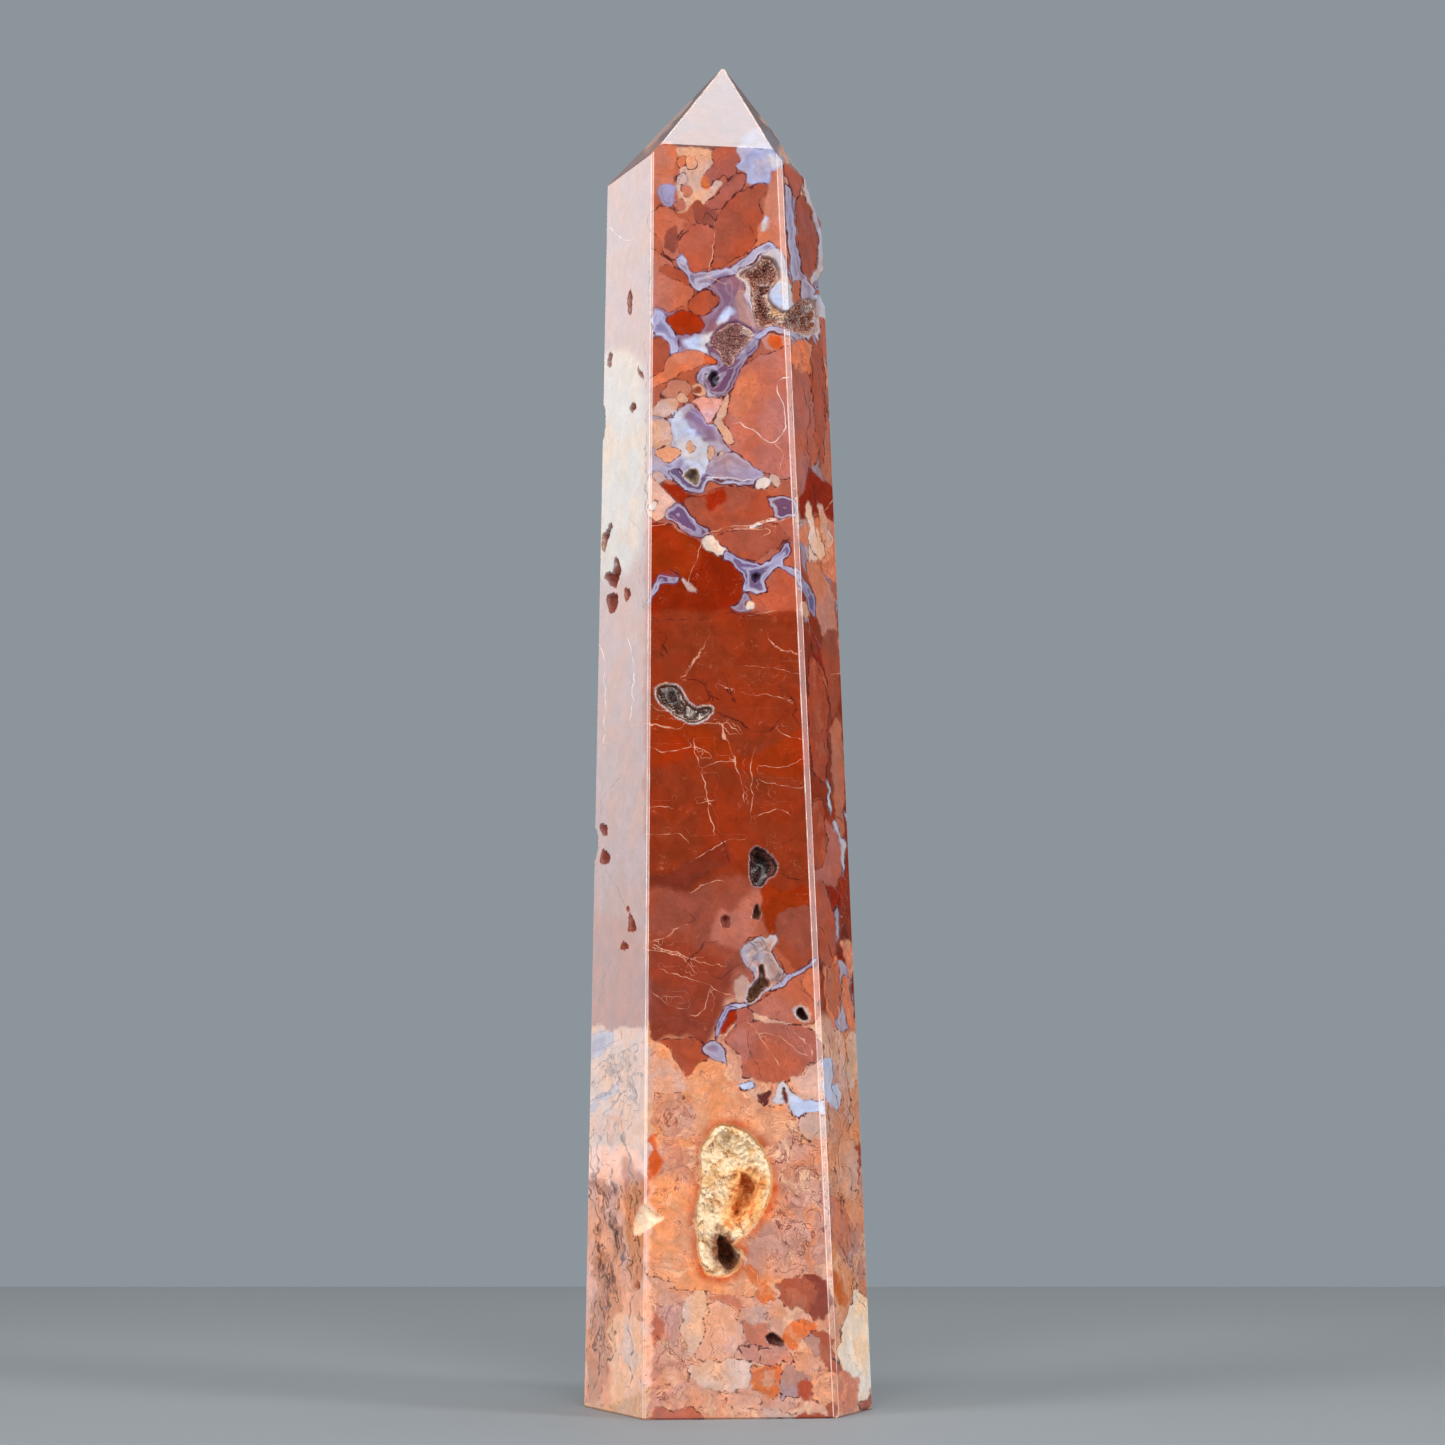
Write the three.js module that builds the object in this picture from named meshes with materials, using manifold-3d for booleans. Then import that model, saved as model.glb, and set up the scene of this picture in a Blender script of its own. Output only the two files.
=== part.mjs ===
// Agate obelisk: one hand-cut, polished tower of red and blue brecciated agate with a six-facet point,
// and the crystal and ochre crusts that line its natural hollows.
// Millimetres, +Z up. The origin is the middle of the flat foot, and the broad front face looks along -Y.
import * as THREE from 'three';
import { mergeVertices } from 'three/addons/utils/BufferGeometryUtils.js';
import Module from 'manifold-3d';

const wasm = await Module();
wasm.setup();

// The block that the tower is ground from, and the height of its slightly blunt tip
const towerHeight = 250;
const stockWidth = 80;

// Corners of the foot, and the six faces between them. Lean is the inward tip of a face, in degrees.
const footCorners = {
  left: [-26.0, 1.8],
  frontLeft: [-14.6, -22.0],
  frontRight: [18.9, -19.0],
  right: [25.8, -2.8],
  backRight: [14.8, 20.8],
  backLeft: [-16.5, 22.2],
};
const sideFaces = {
  front: { from: 'frontLeft', to: 'frontRight', lean: 0.74 },
  right: { from: 'frontRight', to: 'right', lean: 2.35 },
  backRight: { from: 'right', to: 'backRight', lean: 1.35 },
  back: { from: 'backRight', to: 'backLeft', lean: 1.0 },
  backLeft: { from: 'backLeft', to: 'left', lean: 0.92 },
  left: { from: 'left', to: 'frontLeft', lean: 0.48 },
};

// The point's facets all run up to one apex. Heading turns from the front to the right, and tilt is
// the facet's slope from level, both in degrees.
const apex = new THREE.Vector3(-0.9, 0, 250.6);
const crownFacets = {
  front: { heading: 6.0, tilt: 51.2 },
  right: { heading: 67.5, tilt: 55.9 },
  backRight: { heading: 115, tilt: 54.1 },
  back: { heading: 177.5, tilt: 51.5 },
  backLeft: { heading: -115, tilt: 50.3 },
  left: { heading: -64.5, tilt: 49.8 },
};

// Widths of the thin bevels that break the edges
const sideBevels = { front: 1.2, right: 0.7, backRight: 0.8, back: 0.7, backLeft: 0.6, left: 0.55 };
const ridgeBevel = 0.3;
const shoulderBevel = 0.25;
const footBevel = 0.5;

// Natural hollows. Outlines run round the rim on a face, as [across, up] from the middle of its foot.
// Deepest is the point of the outline above the lowest place, and depth is measured in from the face.
const hollows = {
  upperDruseTop: {
    face: 'front', depth: 2.6, deepest: [4.4, 203.2], seed: 11,
    outline: [
      [3.6, 207.4], [4.6, 208.2], [7.3, 206.9], [7.8, 203.9], [6.0, 201.5], [5.8, 199.4],
      [3.5, 198.3], [2.2, 199.8], [1.8, 202.7], [-0.2, 204.1], [2.0, 206.0],
    ],
  },
  upperDruseFoot: {
    face: 'front', depth: 2.9, deepest: [6.3, 197.0], seed: 12,
    outline: [
      [2.4, 199.8], [4.5, 200.0], [6.4, 199.2], [8.8, 197.9], [11.8, 197.2], [12.0, 194.2],
      [8.9, 194.0], [6.6, 194.8], [3.9, 194.3], [2.7, 196.2],
    ],
  },
  upperDruseSide: {
    face: 'right', depth: 2.4, deepest: [-0.4, 199.2], seed: 13,
    outline: [
      [-13.0, 197.6], [-7.0, 200.2], [-2.0, 202.4], [3.0, 203.8], [7.5, 204.6], [9.6, 202.4],
      [8.6, 199.6], [5.0, 197.8], [1.0, 196.2], [-3.5, 195.0], [-9.0, 194.4],
    ],
  },
  purpleDruse: {
    face: 'front', depth: 1.3, deepest: [-0.9, 191.6], seed: 21,
    outline: [
      [-4.0, 194.1], [-1.1, 195.9], [1.4, 195.0], [3.3, 193.1], [1.6, 190.6], [-0.2, 187.8],
      [-1.9, 186.6], [-3.3, 187.7], [-4.0, 189.3], [-5.5, 190.9],
    ],
  },
  whiteVug: {
    face: 'front', depth: 2.2, deepest: [-10.2, 124.9], seed: 31,
    outline: [
      [-15.0, 127.2], [-13.8, 128.1], [-11.8, 128.2], [-10.3, 127.0], [-9.3, 125.4], [-7.6, 124.3],
      [-5.4, 124.3], [-4.7, 123.6], [-5.8, 122.3], [-8.0, 121.2], [-9.9, 121.6], [-12.1, 123.1],
      [-14.0, 124.6], [-14.9, 126.0],
    ],
  },
  smokyDruse: {
    face: 'front', depth: 2.9, deepest: [3.7, 95.9], seed: 41,
    outline: [
      [1.9, 98.1], [2.9, 99.2], [4.2, 98.9], [6.1, 97.2], [6.9, 95.5], [6.0, 94.0],
      [4.8, 93.2], [4.1, 92.0], [2.6, 92.0], [1.8, 92.9], [1.6, 96.3],
    ],
  },
  greyDruse: {
    face: 'front', depth: 2.5, deepest: [3.3, 74.6], seed: 51,
    outline: [
      [1.0, 71.4], [1.6, 73.7], [2.3, 75.2], [3.0, 76.4], [3.1, 78.0], [4.2, 78.5],
      [4.8, 76.4], [5.6, 74.7], [4.2, 73.4], [2.8, 72.0],
    ],
  },
  ochreHollow: {
    face: 'front', depth: 3.4, deepest: [-3.6, 33.6], seed: 61,
    outline: [
      [-4.3, 50.1], [-1.7, 50.6], [0.9, 49.4], [3.6, 46.9], [5.3, 43.3], [5.8, 40.0],
      [4.9, 36.5], [3.4, 33.9], [1.4, 31.6], [-0.8, 29.9], [0.2, 28.4], [0.4, 26.9],
      [-0.6, 25.2], [-2.6, 24.1], [-5.8, 24.5], [-7.2, 27.1], [-7.7, 30.3], [-8.0, 35.3],
      [-7.2, 39.3], [-7.0, 43.1], [-7.3, 45.8], [-6.0, 48.1],
    ],
  },
  ochreDeep: {
    face: 'front', depth: 6.4, deepest: [0.9, 38.2], seed: 62,
    outline: [
      [-0.6, 43.0], [2.6, 42.2], [4.2, 39.2], [3.3, 35.6], [0.3, 32.8], [-2.2, 34.0], [-1.8, 38.6],
    ],
  },
  ochrePit: {
    face: 'front', depth: 7.2, deepest: [-1.9, 28.0], seed: 63,
    outline: [
      [-3.6, 31.9], [-1.5, 30.6], [-0.3, 28.0], [-0.7, 25.9], [-2.3, 24.9], [-3.8, 26.5], [-4.5, 29.4],
    ],
  },
  darkEye: {
    face: 'front', depth: 1.5, deepest: [-4.6, 184.8], seed: 71,
    outline: [[-5.7, 185.3], [-4.8, 186.4], [-3.7, 185.7], [-3.6, 184.1], [-4.6, 183.0], [-5.4, 183.7]],
  },
  greenPocket: {
    face: 'front', depth: 1.7, deepest: [-8.3, 166.3], seed: 72,
    outline: [[-10.0, 166.6], [-8.7, 167.7], [-7.5, 167.6], [-7.0, 166.3], [-7.6, 164.8], [-9.0, 165.5]],
  },
  smallPocket: {
    face: 'front', depth: 1.1, deepest: [3.0, 148.1], seed: 73,
    outline: [[2.1, 148.0], [3.0, 149.1], [4.1, 148.4], [3.0, 146.8]],
  },
  brownPocket: {
    face: 'front', depth: 1.4, deepest: [3.1, 87.5], seed: 74,
    outline: [[3.0, 89.1], [3.9, 87.7], [3.5, 86.1], [2.3, 86.4], [2.4, 88.0]],
  },
  greyPocket: {
    face: 'front', depth: 0.9, deepest: [-2.5, 85.9], seed: 75,
    outline: [[-3.4, 86.1], [-2.6, 87.2], [-1.5, 86.0], [-2.0, 84.7], [-3.1, 85.0]],
  },
  tinyVug: {
    face: 'front', depth: 1.4, deepest: [10.9, 69.6], seed: 76,
    outline: [[9.9, 70.2], [10.8, 70.9], [11.8, 69.9], [12.0, 68.8], [10.9, 68.5], [10.2, 69.2]],
  },
  footPocket: {
    face: 'front', depth: 1.0, deepest: [6.0, 13.2], seed: 77,
    outline: [[4.3, 13.6], [5.6, 14.8], [7.4, 13.3], [7.4, 12.1], [5.2, 12.4]],
  },
  creamPatch: {
    face: 'front', depth: 1.0, deepest: [-16.4, 34.3], seed: 78,
    outline: [
      [-19.6, 37.2], [-16.6, 36.7], [-14.6, 35.3], [-13.2, 34.3], [-14.9, 33.0], [-16.6, 31.8],
      [-19.6, 31.6],
    ],
  },
  creamPatchSide: {
    face: 'left', depth: 0.9, deepest: [12.2, 33.6], seed: 79,
    outline: [
      [7.6, 32.5], [9.9, 35.4], [13.0, 36.9], [15.6, 35.6], [15.6, 32.4], [13.1, 31.4], [9.0, 31.1],
    ],
  },
  leftSlitTop: {
    face: 'left', depth: 1.5, deepest: [1.4, 201.4], seed: 81,
    outline: [[1.2, 203.4], [2.3, 201.8], [1.5, 198.9], [0.5, 201.6]],
  },
  leftPoreA: {
    face: 'left', depth: 1.8, deepest: [-7.8, 158.8], seed: 82,
    outline: [[-6.6, 161.3], [-5.5, 160.1], [-7.2, 158.2], [-8.7, 156.1], [-10.1, 157.0], [-9.7, 159.1]],
  },
  leftPoreB: {
    face: 'left', depth: 2.0, deepest: [-3.8, 150.7], seed: 83,
    outline: [
      [-3.8, 154.3], [-2.2, 153.5], [-1.6, 150.9], [-3.4, 148.3], [-6.1, 149.3], [-9.1, 151.3],
      [-7.4, 152.0], [-4.9, 151.7],
    ],
  },
  leftPoreC: {
    face: 'left', depth: 1.8, deepest: [-5.0, 145.8], seed: 84,
    outline: [[-7.6, 147.4], [-5.0, 147.6], [-2.6, 146.7], [-2.8, 144.8], [-5.2, 143.6], [-7.1, 145.4]],
  },
  leftPoreD: {
    face: 'left', depth: 1.3, deepest: [1.7, 146.2], seed: 85,
    outline: [[1.4, 147.5], [3.0, 146.5], [2.7, 145.2], [1.2, 144.9], [0.3, 146.4]],
  },
  leftPoreE: {
    face: 'left', depth: 1.0, deepest: [3.3, 180.8], seed: 86,
    outline: [[1.9, 181.1], [3.8, 181.6], [4.8, 180.5], [3.0, 179.9]],
  },
  leftSlitUpper: {
    face: 'left', depth: 0.9, deepest: [7.1, 186.0], seed: 87,
    outline: [[5.7, 187.5], [7.7, 186.1], [8.4, 184.7], [6.8, 185.6]],
  },
  leftPoreF: {
    face: 'left', depth: 1.0, deepest: [-7.5, 192.3], seed: 88,
    outline: [[-7.5, 193.7], [-6.6, 192.6], [-7.2, 191.1], [-8.5, 192.0]],
  },
  leftEdgePoreA: {
    face: 'left', depth: 1.2, deepest: [-7.5, 103.8], seed: 89,
    outline: [[-9.4, 104.7], [-7.5, 105.0], [-6.0, 104.0], [-6.5, 102.6], [-8.2, 102.9]],
  },
  leftEdgePoreB: {
    face: 'left', depth: 1.4, deepest: [-7.0, 98.8], seed: 90,
    outline: [[-9.2, 98.3], [-8.1, 100.2], [-6.0, 99.5], [-4.4, 97.9], [-7.1, 97.6]],
  },
  leftSlitLow: {
    face: 'left', depth: 1.5, deepest: [5.6, 85.8], seed: 91,
    outline: [[3.1, 90.0], [5.2, 87.6], [7.5, 85.0], [6.2, 84.1], [4.3, 84.8]],
  },
  leftPoreG: {
    face: 'left', depth: 0.9, deepest: [2.6, 82.0], seed: 92,
    outline: [[1.1, 82.0], [2.5, 82.7], [4.4, 81.8], [2.1, 81.3]],
  },
  backVug: {
    face: 'back', depth: 2.0, deepest: [5.5, 166.0], seed: 93,
    outline: [[3.2, 167.2], [5.4, 168.6], [7.9, 167.0], [8.4, 164.7], [6.0, 163.2], [3.9, 164.6]],
  },
  backPore: {
    face: 'backLeft', depth: 1.4, deepest: [-2.0, 118.0], seed: 94,
    outline: [[-3.2, 119.6], [-1.2, 119.2], [-0.8, 117.0], [-2.6, 116.2], [-3.6, 117.8]],
  },
  backSlit: {
    face: 'backRight', depth: 1.4, deepest: [3.4, 88.6], seed: 95,
    outline: [[2.4, 91.4], [4.0, 90.2], [4.6, 87.4], [3.9, 85.4], [2.6, 87.6]],
  },
};

// Places on the edges that the grinding never reached, or that have chipped. Reach is the half size of
// the lump of stone that is missing, along X, Y and Z.
const edgeLosses = [
  { name: 'natural shoulder', at: [20.3, 2.8, 236.4], reach: [10.9, 13.1, 16.5], seed: 5 },
  { name: 'druse mouth', at: [19.8, 1.7, 207.4], reach: [3.5, 5.2, 3.7], seed: 4 },
  { name: 'upper left notch', at: [-26.1, 0.4, 181.1], reach: [3.3, 4.5, 5.6], seed: 6 },
  { name: 'lower left notch', at: [-27.0, 1.2, 101.6], reach: [3.5, 4.0, 4.2], seed: 7 },
  { name: 'foot chip', at: [25.6, -8.0, -0.6], reach: [2.4, 4.6, 1.9], seed: 8 },
  { name: 'bevel chip', at: [15.6, -19.6, 114.0], reach: [1.9, 2.1, 2.6], seed: 9 },
];
const lossRoughness = 0.03;

// How far a surface may move where a part is simplified
const crustTolerance = 0.03;
const faceTolerance = 0.004;

// How a hollow is rounded: slices from the rim down, the steepness of its wall and its unevenness
const wallSlices = [0, 0.38, 0.74];
const wallSteepness = 0.62;
const wallRoughness = 0.16;
const rimSpacing = 1.6;
const leastRimPoints = 6;
const mostRimPoints = 24;
const cutClearance = 1.2;

// A crust keeps a thin gap to the wall that it grew on, and stays just below the polished face.
const crustGap = 0.36;
const crustSetback = 0.2;
const mostFilled = 0.8;

// The grains of a crust: how much taller than wide a quartz point is, how far it leans from square,
// the spread of sizes, and how far up the wall from the deepest point they start
const pointSlimness = 2.4;
const grainLean = 0.7;
const leastGrain = 0.75;
const grainSpread = 0.5;
const grainBand = 0.85;
const crusts = {
  upper_druse_crust: {
    hollows: ['upperDruseTop', 'upperDruseFoot', 'upperDruseSide'],
    thickness: 0.75, crystal: 'quartz', size: 0.6, count: 9, seed: 101,
  },
  purple_druse_crust: {
    hollows: ['purpleDruse'], thickness: 0.45, crystal: 'quartz', size: 0.5, count: 14, seed: 102,
  },
  white_vug_crust: {
    hollows: ['whiteVug'], thickness: 0.6, crystal: 'quartz', size: 0.5, count: 13, seed: 103,
  },
  smoky_druse_crust: {
    hollows: ['smokyDruse'], thickness: 0.65, crystal: 'quartz', size: 0.5, count: 13, seed: 104,
  },
  grey_druse_crust: {
    hollows: ['greyDruse'], thickness: 0.5, crystal: 'quartz', size: 0.42, count: 8, seed: 105,
  },
  ochre_crust: {
    hollows: ['ochreHollow', 'ochreDeep', 'ochrePit'],
    thickness: 0.85, crystal: 'crumb', size: 0.85, count: 9, seed: 106,
  },
};

const finishes = {
  stone: { color: 0xa5472f, roughness: 0.12 },
  upper_druse_crust: { color: 0x8f7d72, roughness: 0.45 },
  purple_druse_crust: { color: 0x6d5260, roughness: 0.4 },
  white_vug_crust: { color: 0x9b8f88, roughness: 0.45 },
  smoky_druse_crust: { color: 0x3b2622, roughness: 0.35 },
  grey_druse_crust: { color: 0xa3a19f, roughness: 0.4 },
  ochre_crust: { color: 0xd9a463, roughness: 0.9 },
};

// A repeatable stream of numbers from 0 to 1
function seededRandom(seed) {
  let state = seed * 2654435769;
  return () => {
    state = (state + 0x6d2b79f5) | 0;
    let mixed = Math.imul(state ^ (state >>> 15), 1 | state);
    mixed = (mixed + Math.imul(mixed ^ (mixed >>> 7), 61 | mixed)) ^ mixed;
    return ((mixed ^ (mixed >>> 14)) >>> 0) / 4294967296;
  };
}

const weldDistance = 1e-5;

// A closed three.js geometry as a solid that can be cut and joined
function solidFrom(geometry) {
  geometry.deleteAttribute('normal');
  geometry.deleteAttribute('uv');
  const merged = mergeVertices(geometry, weldDistance);
  return new wasm.Manifold(new wasm.Mesh({
    numProp: 3,
    vertProperties: new Float32Array(merged.attributes.position.array),
    triVerts: new Uint32Array(merged.index.array),
  }));
}

// A finished solid as a named mesh
function meshFrom(solid, name, finish) {
  const { vertProperties, triVerts } = solid.getMesh();
  const geometry = new THREE.BufferGeometry();
  geometry.setAttribute('position', new THREE.BufferAttribute(vertProperties, 3));
  geometry.setIndex(new THREE.BufferAttribute(triVerts, 1));
  const flat = geometry.toNonIndexed();
  flat.computeVertexNormals();
  const material = new THREE.MeshStandardMaterial({ ...finish, metalness: 0, flatShading: true });
  const mesh = new THREE.Mesh(flat, material);
  mesh.name = name;
  return mesh;
}

// One side face: its outward normal, its distance from the origin, and axes across it and up it
function sideFace({ from, to, lean }) {
  const start = new THREE.Vector3(...footCorners[from], 0);
  const end = new THREE.Vector3(...footCorners[to], 0);
  const across = end.clone().sub(start).normalize();
  const tip = THREE.MathUtils.degToRad(lean);
  const normal = new THREE.Vector3(across.y, -across.x, 0).multiplyScalar(Math.cos(tip));
  normal.z = Math.sin(tip);
  const up = normal.clone().cross(across);
  const middle = start.add(end).multiplyScalar(0.5);
  return { normal, offset: normal.dot(middle), middle, across, up };
}

function crownFacet({ heading, tilt }) {
  const turn = THREE.MathUtils.degToRad(heading);
  const slope = THREE.MathUtils.degToRad(tilt);
  const normal = new THREE.Vector3(Math.sin(turn), -Math.cos(turn), 0).multiplyScalar(Math.sin(slope));
  normal.z = Math.cos(slope);
  return { normal, offset: normal.dot(apex) };
}

// The flat strip of a given width that breaks the edge between two faces
function bevelBetween(first, second, width) {
  const sum = first.normal.clone().add(second.normal);
  const halfAngle = first.normal.angleTo(second.normal) / 2;
  const depth = (width * Math.tan(halfAngle)) / 2;
  return { normal: sum.clone().normalize(), offset: (first.offset + second.offset) / sum.length() - depth };
}

const faceNames = Object.keys(sideFaces);
const nextFace = (name) => faceNames[(faceNames.indexOf(name) + 1) % faceNames.length];
const faces = Object.fromEntries(faceNames.map((name) => [name, sideFace(sideFaces[name])]));
const facets = Object.fromEntries(faceNames.map((name) => [name, crownFacet(crownFacets[name])]));
const foot = { normal: new THREE.Vector3(0, 0, -1), offset: 0 };
const tip = { normal: new THREE.Vector3(0, 0, 1), offset: towerHeight };

// Every plane that the tower is ground to, in the order of the work: faces, point, then bevels
function groundPlanes() {
  const planes = [foot, tip, ...Object.values(faces), ...Object.values(facets)];
  for (const name of faceNames) {
    planes.push(bevelBetween(faces[name], faces[nextFace(name)], sideBevels[name]));
    planes.push(bevelBetween(facets[name], facets[nextFace(name)], ridgeBevel));
    planes.push(bevelBetween(faces[name], facets[name], shoulderBevel));
    planes.push(bevelBetween(faces[name], foot, footBevel));
  }
  return planes;
}

// The tower without its hollows, with every face moved in by a setback
function groundTower(setback) {
  const block = new THREE.BoxGeometry(stockWidth, stockWidth, towerHeight + 2);
  let tower = solidFrom(block.translate(0, 0, towerHeight / 2));
  for (const { normal, offset } of groundPlanes()) {
    tower = tower.trimByPlane(normal.clone().negate().toArray(), setback - offset);
  }
  return tower;
}

function onFace(face, across, up, out) {
  return face.middle.clone()
    .addScaledVector(face.across, across)
    .addScaledVector(face.up, up)
    .addScaledVector(face.normal, out);
}

// The rim of a hollow as evenly spaced points, counter-clockwise seen from outside
function rimPoints(outline) {
  const corners = outline.map(([across, up]) => new THREE.Vector3(across, up, 0));
  if (THREE.ShapeUtils.isClockWise(corners)) {
    corners.reverse();
  }
  const curve = new THREE.CatmullRomCurve3(corners, true, 'catmullrom', 0.5);
  const wanted = Math.round(curve.getLength() / rimSpacing);
  const count = THREE.MathUtils.clamp(wanted, leastRimPoints, mostRimPoints);
  return curve.getSpacedPoints(count).slice(0, count);
}

// The rim moved inwards by an even distance
function insetRim(rim, distance) {
  return rim.map((point, index) => {
    const before = rim[(index + rim.length - 1) % rim.length];
    const after = rim[(index + 1) % rim.length];
    const inward = new THREE.Vector3(before.y - after.y, after.x - before.x, 0).normalize();
    return point.clone().addScaledVector(inward, distance);
  });
}

// The space of a hollow as a closed bowl with a lid above the face. An inset makes it smaller all round,
// and what is filled then comes off it towards its mouth.
// The sphere's rows become the lid's middle, the lid's edge, the rim, the wall and the deepest point.
function hollowSpace(name, inset, filled) {
  const { face: faceName, outline, deepest, depth, seed } = hollows[name];
  const face = faces[faceName];
  const rim = insetRim(rimPoints(outline), inset);
  const floor = depth - inset;
  const rows = wallSlices.length + 2;
  const random = seededRandom(seed);
  const mouth = onFace(face, ...deepest, 0);
  const wobble = () => 1 + wallRoughness * (random() - 0.5) * 2;
  const place = (row, index) => {
    if (row === 0) return onFace(face, ...deepest, cutClearance);
    if (row === rows) return onFace(face, ...deepest, -floor);
    const slice = Math.max(0, row - 2);
    const sunk = Math.sin(wallSlices[slice] * Math.PI / 2);
    const shrink = Math.cos(wallSlices[slice] * Math.PI / 2) ** wallSteepness;
    const uneven = slice > 0 ? wobble() : 1;
    const across = deepest[0] + (rim[index].x - deepest[0]) * shrink * uneven;
    const up = deepest[1] + (rim[index].y - deepest[1]) * shrink * uneven;
    return onFace(face, across, up, row === 1 ? cutClearance : -floor * sunk * uneven);
  };
  const geometry = new THREE.SphereGeometry(1, rim.length, rows);
  const positions = geometry.attributes.position;
  for (let row = 0; row <= rows; row += 1) {
    const ring = rim.map((point, index) => place(row, index));
    for (let column = 0; column <= rim.length; column += 1) {
      const spot = ring[row === 0 || row === rows ? 0 : column % rim.length].clone();
      const inward = mouth.clone().sub(spot);
      const level = inward.clone().projectOnPlane(face.normal);
      const pull = row <= 2 ? level : inward;
      spot.addScaledVector(pull, Math.min(mostFilled, filled / pull.length()));
      positions.setXYZ(row * (rim.length + 1) + column, spot.x, spot.y, spot.z);
    }
  }
  return solidFrom(geometry);
}

// A rough lump of missing stone
function lostLump({ at, reach, seed }) {
  const geometry = new THREE.IcosahedronGeometry(1, 2);
  geometry.deleteAttribute('normal');
  geometry.deleteAttribute('uv');
  const welded = mergeVertices(geometry, weldDistance);
  const random = seededRandom(seed);
  const positions = welded.attributes.position;
  for (let index = 0; index < positions.count; index += 1) {
    const uneven = 1 + lossRoughness * (random() - 0.5) * 2;
    positions.setXYZ(
      index,
      at[0] + positions.getX(index) * reach[0] * uneven,
      at[1] + positions.getY(index) * reach[1] * uneven,
      at[2] + positions.getZ(index) * reach[2] * uneven,
    );
  }
  return solidFrom(welded);
}

function obeliskBody() {
  let body = groundTower(0);
  for (const loss of edgeLosses) {
    body = body.subtract(lostLump(loss));
  }
  for (const name of Object.keys(hollows)) {
    body = body.subtract(hollowSpace(name, 0, 0));
  }
  return body.asOriginal().simplify(faceTolerance);
}

// A six-sided quartz point, or a blunt crumb of ochre, standing at a spot and leaning towards a target
function grain(kind, size, spot, target, random) {
  const geometry = kind === 'quartz'
    ? new THREE.ConeGeometry(size, size * pointSlimness, 6)
    : new THREE.IcosahedronGeometry(size, 0);
  const lean = new THREE.Vector3(random() - 0.5, random() - 0.5, random() - 0.5);
  const aim = target.clone().sub(spot).normalize().addScaledVector(lean, grainLean).normalize();
  const turn = new THREE.Quaternion().setFromUnitVectors(new THREE.Vector3(0, 1, 0), aim);
  geometry.rotateY(random() * Math.PI * 2).applyQuaternion(turn);
  return solidFrom(geometry.translate(spot.x, spot.y, spot.z));
}

// The grains of one hollow, spread over its wall at the depth where the crust's surface lies
function grainsOf(name, crust, random) {
  const { face: faceName, outline, deepest, depth } = hollows[name];
  const face = faces[faceName];
  const rim = rimPoints(outline);
  const target = onFace(face, ...deepest, 1);
  const buried = crustGap + crust.thickness;
  return Array.from({ length: crust.count }, () => {
    const slice = Math.sqrt(random()) * grainBand;
    const from = rim[Math.floor(random() * rim.length)];
    const shrink = Math.cos((1 - slice) * Math.PI / 2) ** wallSteepness;
    const sunk = depth * Math.sin((1 - slice) * Math.PI / 2);
    const across = deepest[0] + (from.x - deepest[0]) * shrink;
    const up = deepest[1] + (from.y - deepest[1]) * shrink;
    const spot = onFace(face, across, up, -sunk);
    const inward = target.clone().sub(spot).normalize();
    const size = crust.size * (leastGrain + grainSpread * random());
    return grain(crust.crystal, size, spot.addScaledVector(inward, buried), target, random);
  });
}

// The lining of one hollow or of several that run together: a thin shell with its grains fused to it
function crustOf(crust) {
  const random = seededRandom(crust.seed);
  const union = (solids) => solids.reduce((whole, solid) => whole.add(solid));
  const linings = (filled) => union(crust.hollows.map((name) => hollowSpace(name, crustGap, filled)));
  const room = linings(0).intersect(groundTower(crustSetback));
  const grains = union(crust.hollows.flatMap((name) => grainsOf(name, crust, random)));
  const shell = room.subtract(linings(crust.thickness)).add(grains).intersect(room);
  return largestPiece(shell.asOriginal().simplify(crustTolerance));
}

// Grains that missed the shell are left out.
function largestPiece(solid) {
  return solid.decompose().reduce((best, piece) => (piece.volume() > best.volume() ? piece : best));
}

const obelisk = new THREE.Group();
obelisk.name = 'agate_obelisk_model';
obelisk.add(meshFrom(obeliskBody(), 'agate_obelisk', finishes.stone));
for (const [name, crust] of Object.entries(crusts)) {
  obelisk.add(meshFrom(crustOf(crust), name, finishes[name]));
}

export default obelisk;
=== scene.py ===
# Agate obelisk: the looks of a hand-cut, polished tower of brecciated agate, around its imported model.
# The model's sizes are millimetres here and metres in Blender. Outlines of markings are photo pixels.
import itertools
import math

import bpy
import numpy as np
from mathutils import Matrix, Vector, geometry


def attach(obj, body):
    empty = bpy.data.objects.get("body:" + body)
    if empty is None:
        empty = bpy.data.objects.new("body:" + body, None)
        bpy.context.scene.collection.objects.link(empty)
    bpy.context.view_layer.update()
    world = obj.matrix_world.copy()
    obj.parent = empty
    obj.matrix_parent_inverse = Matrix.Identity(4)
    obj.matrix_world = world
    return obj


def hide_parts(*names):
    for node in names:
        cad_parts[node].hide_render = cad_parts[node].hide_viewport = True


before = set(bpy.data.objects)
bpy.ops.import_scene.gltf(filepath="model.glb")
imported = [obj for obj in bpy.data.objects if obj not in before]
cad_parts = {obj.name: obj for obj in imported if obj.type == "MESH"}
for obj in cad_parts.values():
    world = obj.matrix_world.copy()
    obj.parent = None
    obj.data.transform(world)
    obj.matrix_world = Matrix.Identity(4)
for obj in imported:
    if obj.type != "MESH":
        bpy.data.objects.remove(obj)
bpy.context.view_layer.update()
scene = bpy.context.scene
mm = 0.001

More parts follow.
